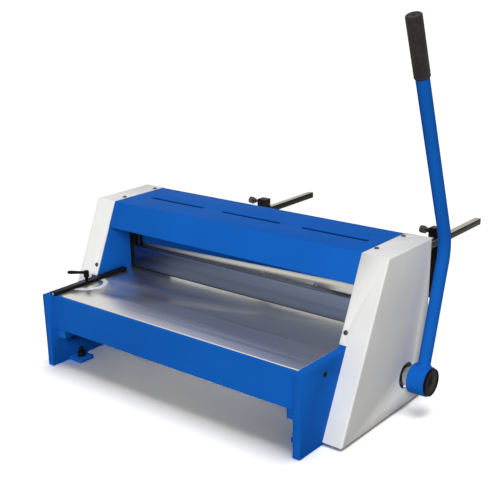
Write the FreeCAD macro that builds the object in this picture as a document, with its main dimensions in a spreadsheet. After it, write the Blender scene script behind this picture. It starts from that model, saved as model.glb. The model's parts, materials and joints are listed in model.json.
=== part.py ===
import FreeCAD, Part
import Sketcher
import math
import os
import re

# Bench guillotine plate shear worked by one long hand lever.
# The origin lies at bench level, midway between the two rear foot holes.
# +X runs to the lever side, +Y to the back gauge, +Z up; sizes are in millimetres.

SIZES = [
    ("clear_width", 660, "between the side plates"),
    ("plate_thick", 16, "side plate"),
    ("foot_pitch", 240, "front foot holes to rear foot holes"),
    ("foot_inset", 66, "leg front edge to front foot holes"),
    ("table_height", 168, "bench to table top"),
    ("top_height", 334, "bench to hood top"),
    ("body_depth", 377, "leg front edge to hood back"),
    ("plate_inset", 6, "hood back to side plate back"),
    ("fold_setback", 217, "leg front edge to the hood's fold"),
    ("slope_angle", 23.9, "hood front and cover front, degrees from upright"),
    ("sheet", 2, "sheet metal of hood and covers"),
    ("seat_gap", 0.3, "gap at a loose seat"),
    ("join_gap", 0.1, "gap at a bolted or welded joint"),
    ("cover_width", 58.5, "side plate inner face to cover outer face"),
    ("cover_overhang", 2.5, "cover's back beyond the hood's back"),
    ("cover_base", 6, "bench to cover bottom"),
    ("notch_height", 174, "bench to the cover's notch over the leg"),
    ("cover_bend", 4, "outer bend radius of the covers"),
    ("cover_screw_inset", 21, "hood back to the rear top screw"),
    ("cover_screw_pitch", 100, "rear top screw to the other top screw"),
    ("cover_screw_height", 196, "bench to the front screw"),
    ("cover_screw_radius", 2.5, "shank of a cover screw"),
    ("cover_screw_head", 4.8, "head radius of a cover screw"),
    ("cover_screw_depth", 12, "shank length in the side plate"),
    ("hood_drop", 57, "hood top to the hood's front edge"),
    ("hood_lip", 12, "folded lip under the hood's front edge"),
    ("hood_back_drop", 66, "hood top to the hood's rear edge"),
    ("hood_bend", 2.5, "outer bend radius of the hood"),
    ("slot_length", 158, "slot in the hood"),
    ("slot_width", 10, "slot in the hood"),
    ("slot_pitch", 212, "slot to slot"),
    ("slot_shift", 8, "slot row off the middle"),
    ("slot_inset", 73, "hood's fold to the slots"),
    ("hood_rail_width", 20, "rail under the hood's end"),
    ("hood_rail_depth", 80, "rail under the hood's end"),
    ("hood_rail_thick", 12, "rail under the hood's end"),
    ("apron_setback", 10, "leg front edge to apron"),
    ("apron_thick", 8, "apron"),
    ("apron_height", 78, "apron"),
    ("table_thick", 20, "table plate"),
    ("edge_break", 1.2, "chamfer along the table's front edge"),
    ("bracket_width", 27, "apron bracket"),
    ("bracket_depth", 80, "apron bracket"),
    ("bracket_base", 66, "bench to bracket bottom"),
    ("leg_screw_setback", 78.5, "leg front edge to leg screw"),
    ("leg_screw_drop", 26, "table top to leg screw"),
    ("leg_screw_radius", 3, "shank of the leg screw"),
    ("leg_screw_head", 6, "head radius of the leg screw"),
    ("leg_screw_length", 35, "leg screw"),
    ("tab_width", 39, "foot tab"),
    ("tab_depth", 42, "foot tab"),
    ("tab_thick", 8, "foot tab"),
    ("tab_hole_radius", 7, "hole in a rear foot tab"),
    ("tab_corner", 5, "corner radius of a foot tab"),
    ("stud_radius", 4.9, "levelling stud"),
    ("stud_height", 31, "levelling stud"),
    ("washer_radius", 10, "washer of the levelling stud"),
    ("washer_thick", 2, "washer of the levelling stud"),
    ("nut_flats", 17, "nut of the levelling stud, across flats"),
    ("nut_height", 8, "nut of the levelling stud"),
    ("cut_setback", 270, "leg front edge to the plane of cut"),
    ("blade_gap", 0.1, "play between the blades"),
    ("blade_end_gap", 5, "side plate to the blades' ends"),
    ("lower_blade_thick", 14, "lower blade"),
    ("lower_blade_height", 50, "lower blade"),
    ("upper_blade_thick", 12, "upper blade"),
    ("upper_blade_height", 56, "upper blade"),
    ("blade_lift", 4, "table top to the upper blade's low end"),
    ("blade_rake", 20.5, "rise of the upper blade over its length"),
    ("blade_screw_pitch", 128, "blade screws"),
    ("blade_screw_radius", 4, "shank of a blade screw"),
    ("blade_screw_head", 8, "head radius of a blade screw"),
    ("blade_screw_length", 30, "blade screw"),
    ("carrier_depth", 40, "beam that carries the lower blade"),
    ("carrier_height", 60, "beam that carries the lower blade"),
    ("beam_thick", 25, "web of the upper beam"),
    ("beam_lift", 30, "table top to the upper beam"),
    ("beam_headroom", 22, "upper beam to hood top"),
    ("ledge_reach", 32, "upper beam's ledge over the springs"),
    ("ledge_thick", 14, "upper beam's ledge"),
    ("feed_gap", 5, "table top to the hold-down bar"),
    ("blade_clearance", 1, "hold-down bar to the plane of cut"),
    ("hold_down_thick", 19, "hold-down bar"),
    ("hold_down_height", 51, "hold-down bar"),
    ("strip_width", 19, "guide strip at each end of the hold-down bar"),
    ("strip_depth", 13.7, "guide strip"),
    ("strip_height", 82, "guide strip"),
    ("hold_down_pin_radius", 5, "hold-down pin"),
    ("hold_down_pin_inset", 9, "hold-down bar's end to its pin"),
    ("hold_down_pin_depth", 15, "hold-down pin in its bar"),
    ("hold_down_pin_head", 8, "head radius of a hold-down pin"),
    ("pin_head_thick", 4, "head of a hold-down pin"),
    ("collar_radius", 8, "collar on a hold-down pin"),
    ("collar_thick", 3.5, "collar on a hold-down pin"),
    ("collar_lift", 24, "hold-down bar to the collars"),
    ("spring_radius", 8, "hold-down spring, outside"),
    ("spring_wire", 2.4, "hold-down spring, wall of its coil"),
    ("shaft_offset", 31, "plane of cut to the main shaft"),
    ("shaft_height", 69, "bench to the main shaft"),
    ("shaft_radius", 20, "main shaft"),
    ("run_gap", 0.05, "running play of a shaft in its bush, on the radius"),
    ("bush_wall", 6, "shaft bush"),
    ("bush_flange", 4, "flange of the shaft bush beyond its wall"),
    ("bush_flange_thick", 3, "flange of the shaft bush"),
    ("throw", 21.4, "shaft centre to eccentric centre"),
    ("eccentric_radius", 46, "eccentric"),
    ("lever_swing", 75, "lever's turn from rest, degrees"),
    ("rod_standoff", 6, "side plate to connecting rod"),
    ("rod_thick", 14, "connecting rod"),
    ("rod_ring", 8, "wall of the connecting rod's ring"),
    ("rod_shank", 24, "width of the connecting rod"),
    ("rod_eye_radius", 20, "connecting rod's upper eye, outside"),
    ("eye_play", 2.6, "open play of the upper eye on its pin"),
    ("wrist_radius", 8, "pin of the end block"),
    ("wrist_height", 235, "bench to the end block's pin"),
    ("ring_clip_thick", 2, "clip on the end block's pin"),
    ("ring_clip_wall", 5, "clip on the end block's pin"),
    ("block_offset", 0.4, "plane of cut to the end block"),
    ("block_depth", 36, "end block"),
    ("block_height", 50, "end block"),
    ("block_standout", 3, "end block beyond the side plate"),
    ("block_bolt_radius", 4, "shank of an end block bolt"),
    ("block_bolt_head", 6.5, "head radius of an end block bolt"),
    ("block_bolt_head_thick", 8, "head of an end block bolt"),
    ("block_bolt_length", 45, "end block bolt"),
    ("block_bolt_spread", 17, "end block pin to a bolt"),
    ("gib_thick", 4, "gib in the side plate's window"),
    ("slide_gap", 0.1, "play of a sliding piece"),
    ("window_margin", 5, "window beyond the end block's travel"),
    ("key_width", 8, "shaft key"),
    ("key_height", 7, "shaft key"),
    ("key_depth", 4, "shaft key in the shaft"),
    ("cover_hole_radius", 27.3, "hole in the right cover"),
    ("hub_standoff", 15.5, "cover to lever hub"),
    ("hub_radius", 30, "lever hub"),
    ("hub_length", 37, "lever hub"),
    ("cap_radius", 28.5, "hub cap"),
    ("cap_thick", 5, "hub cap"),
    ("cap_edge", 1.2, "chamfer of the hub cap"),
    ("tube_radius", 12.5, "lever tube"),
    ("tube_wall", 3, "lever tube"),
    ("lower_reach", 269.6, "shaft centre to the lever's bend point"),
    ("lower_lean", 14.6, "lever below the bend, degrees from upright, to the back"),
    ("upper_reach", 459, "bend point to the tube's end"),
    ("upper_lean", 21.1, "lever above the bend, degrees from upright, to the front"),
    ("bend_radius", 110, "lever's bend, on the centre line"),
    ("grip_radius", 14.6, "lever grip"),
    ("grip_length", 109, "lever grip"),
    ("grip_cap", 3, "grip beyond the tube's end"),
    ("grip_hole", 3, "hole in the grip's end"),
    ("grip_round", 3, "rounding of the grip's ends"),
    ("tie_inset", 6, "side plate back to the rear cross bar"),
    ("tie_depth", 30, "rear cross bar"),
    ("tie_base", 15, "bench to the rear cross bar"),
    ("tie_height", 30, "rear cross bar"),
    ("scale_inset", 9, "side plate to the scale's centre"),
    ("scale_setback", 107.5, "leg front edge to the scale's centre"),
    ("scale_radius", 46.5, "angle scale"),
    ("scale_band", 10, "angle scale"),
    ("scale_thick", 1.5, "angle scale"),
    ("stop_width", 14, "side stop"),
    ("stop_height", 7, "side stop"),
    ("stop_front", 8, "leg front edge to the side stop"),
    ("stop_clearance", 24, "side stop's rear end to the hold-down bar"),
    ("stop_stud_radius", 2.5, "stud of the side stop"),
    ("stop_stud_depth", 12, "stud in the table"),
    ("clamp_neck_radius", 3.8, "clamping lever's neck"),
    ("clamp_neck_height", 7.5, "clamping lever's neck"),
    ("clamp_hub_radius", 6.2, "clamping lever's hub"),
    ("clamp_hub_height", 15, "clamping lever's hub"),
    ("clamp_arm_length", 43, "clamping lever's arm"),
    ("clamp_arm_radius", 2.8, "clamping lever's arm at its hub"),
    ("clamp_arm_bulge", 4.2, "clamping lever's arm at its thickest"),
    ("clamp_arm_tip", 2, "clamping lever's arm at its tip"),
    ("clamp_arm_angle", 215, "clamping lever's arm, degrees from +X"),
    ("stop_screw_radius", 2.5, "screw in the side stop's end"),
    ("stop_screw_head", 2.8, "head radius of the screw in the side stop's end"),
    ("gauge_spread", 250, "middle to a gauge bar"),
    ("gauge_bar_width", 16, "gauge bar"),
    ("gauge_bar_thick", 16, "gauge bar"),
    ("gauge_bar_height", 230, "bench to a gauge bar's middle"),
    ("gauge_bar_seat", 12, "gauge bar in the upper beam"),
    ("gauge_drop", 5.7, "left gauge bar below the right one"),
    ("gauge_bar_reach", 506, "hood back to the gauge bars' ends"),
    ("clamp_reach", 289, "hood back to the gauge clamps"),
    ("clamp_depth", 24, "gauge clamp"),
    ("clamp_left", 20, "gauge bar's middle to the clamp's knob side"),
    ("clamp_right", 5, "gauge bar's middle to the clamp's other side"),
    ("clamp_top", 260, "bench to the clamp's top"),
    ("clamp_step", 238, "bench to the clamp's front underside"),
    ("clamp_base", 218, "bench to the clamp's bottom"),
    ("yoke_depth", 10, "part of the clamp round the gauge bar"),
    ("yoke_half", 12, "part of the clamp round the gauge bar, half its width"),
    ("clamp_slit", 2, "slit of the clamp"),
    ("slit_shift", 4, "gauge bar's middle to the slit"),
    ("knob_height", 250, "bench to the knobs"),
    ("knob_radius", 9.5, "clamp knob"),
    ("knob_length", 21, "clamp knob"),
    ("knob_standoff", 7, "clamp to knob"),
    ("knob_slack", 7, "left knob screwed out further than the right one"),
    ("knob_flutes", 8, "flutes of a clamp knob"),
    ("knob_screw_radius", 3, "screw of a clamp knob"),
    ("stop_bar_span", 530, "back stop"),
    ("stop_bar_thick", 8, "back stop"),
    ("stop_bar_base", 100, "bench to the back stop"),
    ("stop_bar_top", 185, "bench to the back stop's top"),
    ("arm_thick", 8, "arm of the back stop"),
    ("arm_base", 85, "bench to the arm's foot"),
]

# Places worked out from the sizes above. The side plates stand at x = +-inner to +-outer.
LAYOUT = [
    ("inner", "clear_width/2"),
    ("outer", "inner + plate_thick"),
    ("cover_x", "inner + cover_width"),
    ("front", "0 - foot_pitch - foot_inset"),
    ("back", "front + body_depth"),
    ("cover_back", "back + cover_overhang"),
    ("plate_back", "back - plate_inset"),
    ("plate_top", "top_height - sheet - seat_gap"),
    ("slope_run", "tan(slope_angle)"),
    ("skin_run", "sheet/cos(slope_angle)"),
    ("plate_run", "(sheet + seat_gap)/cos(slope_angle)"),
    ("fold_y", "front + fold_setback"),
    ("hood_lip_height", "top_height - hood_drop"),
    ("table_slope_y", "fold_y - (top_height - table_height)*slope_run + plate_run"),
    ("top_slope_y", "fold_y - (top_height - plate_top)*slope_run + plate_run"),
    ("cover_foot_y", "fold_y - (top_height - cover_base)*slope_run"),
    ("cover_inner_foot_y", "fold_y - top_height*slope_run + skin_run"),
    ("skin_top_y", "fold_y - sheet*slope_run + skin_run"),
    ("lip_y", "fold_y - hood_drop*slope_run"),
    ("lip_inner_y", "fold_y - (hood_drop - sheet)*slope_run + skin_run"),
    ("clear_half", "inner - join_gap"),
    ("table_front", "front + apron_setback + apron_thick + join_gap"),
    ("table_base", "table_height - table_thick"),
    ("blade_length", "clear_width - 2*blade_end_gap"),
    ("cut_y", "front + cut_setback"),
    ("lower_blade_y", "cut_y - lower_blade_thick"),
    ("upper_blade_y", "cut_y + blade_gap"),
    ("beam_y", "upper_blade_y + upper_blade_thick"),
    ("beam_base", "table_height + beam_lift"),
    ("beam_top", "top_height - beam_headroom"),
    ("ledge_base", "beam_top - ledge_thick"),
    ("beam_half", "inner - seat_gap"),
    ("beam_back", "beam_y + beam_thick"),
    ("rake", "blade_rake/blade_length"),
    ("blade_base", "table_height + blade_lift + blade_rake/2"),
    ("upper_screw_height", "blade_base + upper_blade_height*0.63"),
    ("lower_screw_height", "table_base - 15"),
    ("hold_down_half", "inner - strip_width - seat_gap"),
    ("hold_down_y", "cut_y - blade_clearance - hold_down_thick"),
    ("hold_down_base", "table_height + feed_gap"),
    ("hold_down_top", "hold_down_base + hold_down_height"),
    ("pin_x", "hold_down_half - hold_down_pin_inset"),
    ("pin_y", "hold_down_y + hold_down_thick/2"),
    ("collar_base", "hold_down_top + collar_lift"),
    ("spring_base", "collar_base + collar_thick + seat_gap"),
    ("shaft_y", "cut_y + shaft_offset"),
    ("start_angle", "lever_swing/2"),
    ("eccentric_y", "shaft_y - throw*cos(start_angle)"),
    ("eccentric_z", "shaft_height + throw*sin(start_angle)"),
    ("stroke", "2*throw*sin(start_angle)"),
    ("wrist_y", "shaft_y - throw*(1 + cos(start_angle))/2"),
    ("rod_x", "outer + rod_standoff"),
    ("rod_end", "rod_x + rod_thick"),
    ("block_y", "cut_y + block_offset"),
    ("block_base", "wrist_height - block_height/2"),
    ("block_end", "outer + block_standout"),
    ("window_y", "block_y - slide_gap - gib_thick"),
    ("window_depth", "block_depth + 2*slide_gap + 2*gib_thick"),
    ("window_base", "block_base - stroke - window_margin"),
    ("window_height", "block_height + stroke + 2*window_margin"),
    ("hub_x", "cover_x + hub_standoff"),
    ("hub_end", "hub_x + hub_length"),
    ("lever_x", "hub_x + hub_length/2"),
    ("bend_y", "shaft_y + lower_reach*sin(lower_lean)"),
    ("bend_z", "shaft_height + lower_reach*cos(lower_lean)"),
    ("tip_y", "bend_y - upper_reach*sin(upper_lean)"),
    ("tip_z", "bend_z + upper_reach*cos(upper_lean)"),
    ("scale_x", "scale_inset - inner"),
    ("scale_y", "front + scale_setback"),
    ("stop_base", "table_height + seat_gap"),
    ("stop_top", "stop_base + stop_height"),
    ("clamp_stud_reach", "clamp_neck_height + clamp_hub_height*0.6"),
    ("gauge_drop_left", "gauge_drop"),
    ("gauge_drop_right", "0"),
    ("knob_slack_left", "knob_slack"),
    ("knob_slack_right", "0"),
    ("clamp_y", "back + clamp_reach"),
    ("clamp_end", "clamp_y + clamp_depth"),
    ("clamp_mid_y", "clamp_y + clamp_depth/2"),
    ("arm_back", "clamp_end - yoke_depth + arm_thick"),
]

doc = FreeCAD.newDocument("PlateShear")
sheet = doc.addObject("Spreadsheet::Sheet", "Sizes")
layout = doc.addObject("App::VarSet", "Layout")
NODES = {}
SIDES = (("left", -1), ("right", 1))
NAMES = {}


def formula(text):
    """Turn a formula in plain names into an expression on the sheet and the layout."""
    return re.sub(r"[a-z][a-z_]*", lambda found: NAMES.get(found.group(0), found.group(0)), str(text))


def fill_sheet():
    for row, (name, number, meaning) in enumerate(SIZES, start=1):
        sheet.set("A%d" % row, meaning)
        sheet.set("B%d" % row, str(number))
        sheet.setAlias("B%d" % row, name)
        NAMES[name] = "Sizes." + name
    for name, text in LAYOUT:
        layout.addProperty("App::PropertyFloat", name, "Places", text)
        layout.setExpression(name, formula(text).replace("Layout.", ""))
        NAMES[name] = "Layout." + name
    doc.recompute()


def value(name):
    """Read one named size or place as a number."""
    if hasattr(layout, name):
        return float(getattr(layout, name))
    return float(sheet.get(name))


def mirrored(side, low, high):
    """Start and end of a span on one side: on the left it runs from -high to -low."""
    if side < 0:
        return "0 - (%s)" % high, "0 - (%s)" % low
    return low, high


def node(name, shape_object):
    """Give a finished sub-part its own label and keep it for writing."""
    shape_object.Label = name
    NODES[name] = shape_object
    return shape_object


def place(thing, x, y, z):
    for axis, text in zip("xyz", (x, y, z)):
        thing.setExpression("Placement.Base." + axis, formula(text))


def box(x, y, z, length, width, height):
    thing = doc.addObject("Part::Box", "Block")
    place(thing, x, y, z)
    thing.setExpression("Length", formula(length))
    thing.setExpression("Width", formula(width))
    thing.setExpression("Height", formula(height))
    return thing


def span_box(x, y, z):
    """A box from three (low, high) pairs of formulas."""
    sizes = ["(%s) - (%s)" % (high, low) for low, high in (x, y, z)]
    return box(x[0], y[0], z[0], *sizes)


TURNS = {
    "X": FreeCAD.Rotation(FreeCAD.Vector(0, 1, 0), 90),
    "Y": FreeCAD.Rotation(FreeCAD.Vector(1, 0, 0), -90),
    "Z": FreeCAD.Rotation(),
}


def cylinder(axis, x, y, z, radius, length):
    """A round bar that starts at x, y, z and runs along +axis."""
    thing = doc.addObject("Part::Cylinder", "Round")
    thing.Placement = FreeCAD.Placement(FreeCAD.Vector(), TURNS[axis])
    place(thing, x, y, z)
    thing.setExpression("Radius", formula(radius))
    thing.setExpression("Height", formula(length))
    return thing


def cone(axis, x, y, z, radius_start, radius_end, length):
    thing = doc.addObject("Part::Cone", "Taper")
    thing.Placement = FreeCAD.Placement(FreeCAD.Vector(), TURNS[axis])
    place(thing, x, y, z)
    thing.setExpression("Radius1", formula(radius_start))
    thing.setExpression("Radius2", formula(radius_end))
    thing.setExpression("Height", formula(length))
    return thing


def fuse(*things):
    joined = doc.addObject("Part::MultiFuse", "Joined")
    joined.Shapes = list(things)
    joined.Refine = True
    return joined


def cut(base, *tools):
    """Take one or more tools away from a base."""
    opened = doc.addObject("Part::Cut", "Opened")
    opened.Base = base
    opened.Tool = tools[0] if len(tools) == 1 else fuse(*tools)
    return opened


def group(*things):
    """Several separate solids kept as one node."""
    kept = doc.addObject("Part::Compound", "Group")
    kept.Links = list(things)
    return kept


def origin_plane(body, role):
    return next(feature for feature in body.Origin.OriginFeatures if feature.Role == role)


def outline(body, role, points, offset="0"):
    """A closed sketch of straight lines; each corner is bound to its two formulas."""
    sketch = body.newObject("Sketcher::SketchObject", "Outline")
    sketch.AttachmentSupport = [(origin_plane(body, role), "")]
    sketch.MapMode = "FlatFace"
    sketch.setExpression("AttachmentOffset.Base.z", formula(offset))
    count = len(points)
    turn = -2*math.pi/count
    corners = [FreeCAD.Vector(math.cos(turn*i), math.sin(turn*i), 0)*100 for i in range(count)]
    for i in range(count):
        sketch.addGeometry(Part.LineSegment(corners[i], corners[(i + 1) % count]), False)
    for i in range(count):
        sketch.addConstraint(Sketcher.Constraint("Coincident", i, 2, (i + 1) % count, 1))
    for i, pair in enumerate(points):
        for kind, start, text in zip(("DistanceX", "DistanceY"), corners[i], pair):
            index = sketch.addConstraint(Sketcher.Constraint(kind, -1, 1, i, 1, start))
            sketch.setExpression("Constraints[%d]" % index, formula(text))
    return sketch


def circle(body, role, middle, radius, offset="0"):
    """A sketch of one circle about a pair of formulas."""
    sketch = body.newObject("Sketcher::SketchObject", "Circle")
    sketch.AttachmentSupport = [(origin_plane(body, role), "")]
    sketch.MapMode = "FlatFace"
    sketch.setExpression("AttachmentOffset.Base.z", formula(offset))
    start = FreeCAD.Vector(10, 10, 0)
    sketch.addGeometry(Part.Circle(start, FreeCAD.Vector(0, 0, 1), 5), False)
    for kind, number, text in zip(("DistanceX", "DistanceY"), start, middle):
        index = sketch.addConstraint(Sketcher.Constraint(kind, -1, 1, 0, 3, number))
        sketch.setExpression("Constraints[%d]" % index, formula(text))
    index = sketch.addConstraint(Sketcher.Constraint("Radius", 0, 5))
    sketch.setExpression("Constraints[%d]" % index, formula(radius))
    return sketch


def pad(body, sketch, length):
    feature = body.newObject("PartDesign::Pad", "Pad")
    feature.Profile = sketch
    feature.setExpression("Length", formula(length))
    return feature


def pocket(body, sketch, length):
    """A pocket that is turned round if it points away from the solid."""
    doc.recompute()
    before = body.Shape.Volume
    feature = body.newObject("PartDesign::Pocket", "Pocket")
    feature.Profile = sketch
    feature.setExpression("Length", formula(length))
    doc.recompute()
    if abs(feature.Shape.Volume - before) < 1e-6:
        feature.Reversed = True
        doc.recompute()
    if abs(feature.Shape.Volume - before) < 1e-6:
        raise RuntimeError("a pocket cuts nothing in " + body.Label)
    return feature


def edge_names(feature, wanted):
    """Names of the edges whose middle passes the test."""
    names = []
    for number, edge in enumerate(feature.Shape.Edges, start=1):
        middle = edge.valueAt((edge.FirstParameter + edge.LastParameter)/2)
        if wanted(edge, middle):
            names.append("Edge%d" % number)
    return names


def dress(body, kind, feature, wanted, size):
    """A Fillet or Chamfer on the wanted edges of a feature."""
    doc.recompute()
    dressed = body.newObject("PartDesign::" + kind, kind)
    dressed.Base = (feature, edge_names(feature, wanted))
    dressed.setExpression("Radius" if kind == "Fillet" else "Size", formula(size))
    return dressed


def near(a, b):
    return abs(a - b) < 0.01


# Side plates: leg and upright in one plate, with the window of the end block and the shaft's bore

def side_plate(name, side):
    body = doc.addObject("PartDesign::Body", "PlateBody")
    start, end = mirrored(side, "inner", "outer")
    profile = outline(body, "YZ_Plane", [
        ("front", "0"), ("front", "table_height"), ("table_slope_y", "table_height"),
        ("top_slope_y", "plate_top"), ("plate_back", "plate_top"), ("plate_back", "0")], start)
    pad(body, profile, "plate_thick")
    window = outline(body, "YZ_Plane", [
        ("window_y", "window_base"), ("window_y", "window_base + window_height"),
        ("window_y + window_depth", "window_base + window_height"),
        ("window_y + window_depth", "window_base")], end)
    pocket(body, window, "plate_thick")
    bore = circle(body, "YZ_Plane", ("shaft_y", "shaft_height"),
                  "shaft_radius + run_gap + bush_wall + run_gap", end)
    pocket(body, bore, "plate_thick")
    node("side_plate_" + name, cut(body, *(leg_screw_hole(side) + cover_screw_holes(side))))


def leg_screw_hole(side):
    """Countersunk hole through the leg: shank, cone and the way out."""
    head_depth = "(leg_screw_head - leg_screw_radius)"
    y = "front + leg_screw_setback"
    z = "table_height - leg_screw_drop"
    if side > 0:
        shank = cylinder("X", "outer - leg_screw_length", y, z,
                         "leg_screw_radius + join_gap", "leg_screw_length")
        sink = cone("X", "outer - %s" % head_depth, y, z,
                    "leg_screw_radius + join_gap", "leg_screw_head + join_gap", head_depth)
    else:
        shank = cylinder("X", "0 - outer", y, z, "leg_screw_radius + join_gap", "leg_screw_length")
        sink = cone("X", "0 - outer", y, z,
                    "leg_screw_head + join_gap", "leg_screw_radius + join_gap", head_depth)
    return [shank, sink]


def top_screw_places():
    return ["back - cover_screw_inset", "back - cover_screw_inset - cover_screw_pitch"]


def cover_screw_holes(side, grow="join_gap"):
    """Round tools for the shanks of one cover's three screws."""
    middle = "%d*(inner + plate_thick/2)" % side
    tools = []
    for y in top_screw_places():
        tools.append(cylinder("Z", middle, y, "top_height - cover_screw_depth",
                              "cover_screw_radius + " + grow, "cover_screw_depth"))
    tools.append(front_screw_round(side, "cover_screw_radius + " + grow,
                                   "0 - cover_screw_depth", "cover_screw_depth"))
    return tools


def front_screw_round(side, radius, start, length):
    """A round bar square to the sloping front; start is measured outward from the cover's face."""
    thing = doc.addObject("Part::Cylinder", "Round")
    thing.Placement = FreeCAD.Placement(FreeCAD.Vector(), FreeCAD.Rotation(FreeCAD.Vector(1, 0, 0), 90))
    thing.setExpression("Placement.Rotation.Angle", formula("90 - slope_angle"))
    run = "(fold_y - (top_height - cover_screw_height)*slope_run)"
    place(thing, "%d*(inner + plate_thick/2)" % side,
          "%s - (%s)*cos(slope_angle)" % (run, start), "cover_screw_height + (%s)*sin(slope_angle)" % start)
    thing.setExpression("Radius", formula(radius))
    thing.setExpression("Height", formula(length))
    return thing


# Sheet metal: the hood between the plates, and a cover over each side plate

def top_hood():
    body = doc.addObject("PartDesign::Body", "HoodBody")
    profile = outline(body, "YZ_Plane", [
        ("lip_y", "hood_lip_height"), ("fold_y", "top_height"), ("back", "top_height"),
        ("back", "top_height - hood_back_drop"), ("back - sheet", "top_height - hood_back_drop"),
        ("back - sheet", "top_height - sheet"), ("skin_top_y", "top_height - sheet"),
        ("lip_inner_y", "hood_lip_height + sheet"), ("lip_y + hood_lip", "hood_lip_height + sheet"),
        ("lip_y + hood_lip", "hood_lip_height")], "0 - inner + seat_gap")
    skin = pad(body, profile, "clear_width - 2*seat_gap")
    fold = value("fold_y")
    top = value("top_height")
    lip = value("hood_lip_height")

    def outer_bends(edge, middle):
        across = edge.Length > value("inner")
        at_fold = near(middle.y, fold) and near(middle.z, top)
        at_back = near(middle.y, value("back")) and near(middle.z, top)
        at_lip = near(middle.y, value("lip_y")) and near(middle.z, lip)
        return across and (at_fold or at_back or at_lip)

    dress(body, "Fillet", skin, outer_bends, "hood_bend")
    for step in (-1, 0, 1):
        middle = "slot_shift + %d*slot_pitch" % step
        slot = outline(body, "XY_Plane", [
            (middle + " - slot_length/2", "fold_y + slot_inset - slot_width/2"),
            (middle + " - slot_length/2", "fold_y + slot_inset + slot_width/2"),
            (middle + " + slot_length/2", "fold_y + slot_inset + slot_width/2"),
            (middle + " + slot_length/2", "fold_y + slot_inset - slot_width/2")], "top_height")
        pocket(body, slot, "2*sheet")
    node("top_hood", body)


def side_cover(name, side):
    body = doc.addObject("PartDesign::Body", "CoverBody")
    start, end = mirrored(side, "inner", "cover_x")
    profile = outline(body, "YZ_Plane", [
        ("cover_foot_y", "cover_base"), ("fold_y", "top_height"),
        ("cover_back", "top_height"), ("cover_back", "cover_base")], start)
    block = pad(body, profile, "cover_width")
    face = side*value("cover_x")

    def outer_bends(edge, middle):
        return near(middle.x, face) and middle.z > value("cover_base") + 1

    dress(body, "Fillet", block, outer_bends, "cover_bend")
    hollow = outline(body, "YZ_Plane", [
        ("cover_inner_foot_y", "0"), ("skin_top_y", "top_height - sheet"),
        ("cover_back - sheet", "top_height - sheet"), ("cover_back - sheet", "0")], "%d*inner" % side)
    pocket(body, hollow, "cover_width - sheet")
    edges = mirrored(side, "inner - 1", "outer + seat_gap")
    notch = outline(body, "XZ_Plane", [
        (edges[0], "0"), (edges[0], "notch_height"),
        (edges[1], "notch_height"), (edges[1], "0")], "0 - front")
    pocket(body, notch, "foot_pitch + foot_inset")
    tools = cover_screw_holes(side)
    if side > 0:
        tools.append(cylinder("X", "cover_x - 2*sheet", "shaft_y", "shaft_height",
                              "cover_hole_radius", "4*sheet"))
    node("side_cover_" + name, cut(body, *tools))


def cover_screws():
    """Six pan-head screws: two in the top and one in the front of each cover."""
    screws = []
    for _, side in SIDES:
        middle = "%d*(inner + plate_thick/2)" % side
        for y in top_screw_places():
            shank = cylinder("Z", middle, y, "top_height - cover_screw_depth", "cover_screw_radius",
                             "cover_screw_depth + sheet/2")
            head = cone("Z", middle, y, "top_height",
                        "cover_screw_head", "cover_screw_head*0.7", "cover_screw_radius")
            screws.append(fuse(shank, head))
        shank = front_screw_round(side, "cover_screw_radius",
                                  "0 - cover_screw_depth", "cover_screw_depth + sheet/2")
        head = front_screw_round(side, "cover_screw_head", "0", "cover_screw_radius*0.8")
        screws.append(fuse(shank, head))
    node("cover_screws", group(*screws))


def hood_rails():
    """A rail on each side plate carries the hood's end."""
    rails = []
    for _, side in SIDES:
        rails.append(span_box(mirrored(side, "inner - hood_rail_width", "clear_half"),
                              ("plate_back - hood_rail_depth", "plate_back"),
                              ("plate_top - hood_rail_thick", "plate_top")))
    node("hood_rails", group(*rails))


# Table: plate, apron, brackets and the carrier of the lower blade

def front_apron():
    node("front_apron", span_box(
        ("0 - clear_half", "clear_half"), ("front + apron_setback", "front + apron_setback + apron_thick"),
        ("table_height - apron_height", "table_height - edge_break")))


def table_plate():
    body = doc.addObject("PartDesign::Body", "TableBody")
    profile = outline(body, "XY_Plane", [
        ("0 - clear_half", "table_front"), ("0 - clear_half", "lower_blade_y - join_gap"),
        ("clear_half", "lower_blade_y - join_gap"), ("clear_half", "table_front")], "table_base")
    plate = pad(body, profile, "table_thick")

    def front_edge(edge, middle):
        return (near(middle.y, value("table_front")) and near(middle.z, value("table_height"))
                and near(middle.x, 0))

    dress(body, "Chamfer", plate, front_edge, "edge_break")
    recess = cut(
        cylinder("Z", "scale_x", "scale_y", "table_height - scale_thick - join_gap",
                 "scale_radius + join_gap", "scale_thick + 1"),
        cylinder("Z", "scale_x", "scale_y", "table_height - scale_thick - 1",
                 "scale_radius - scale_band - join_gap", "scale_thick + 3"))
    stud_hole = cylinder("Z", "scale_x", "scale_y", "table_height - stop_stud_depth - join_gap",
                         "stop_stud_radius + join_gap", "stop_stud_depth + 1")
    node("table_plate", cut(body, recess, stud_hole))


def apron_brackets():
    brackets = []
    for _, side in SIDES:
        block = span_box(mirrored(side, "inner - bracket_width", "clear_half"),
                         ("table_front", "table_front + bracket_depth"),
                         ("bracket_base", "table_base - join_gap"))
        brackets.append(cut(block, leg_screw_hole(side)[0]))
    node("apron_brackets", group(*brackets))


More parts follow.
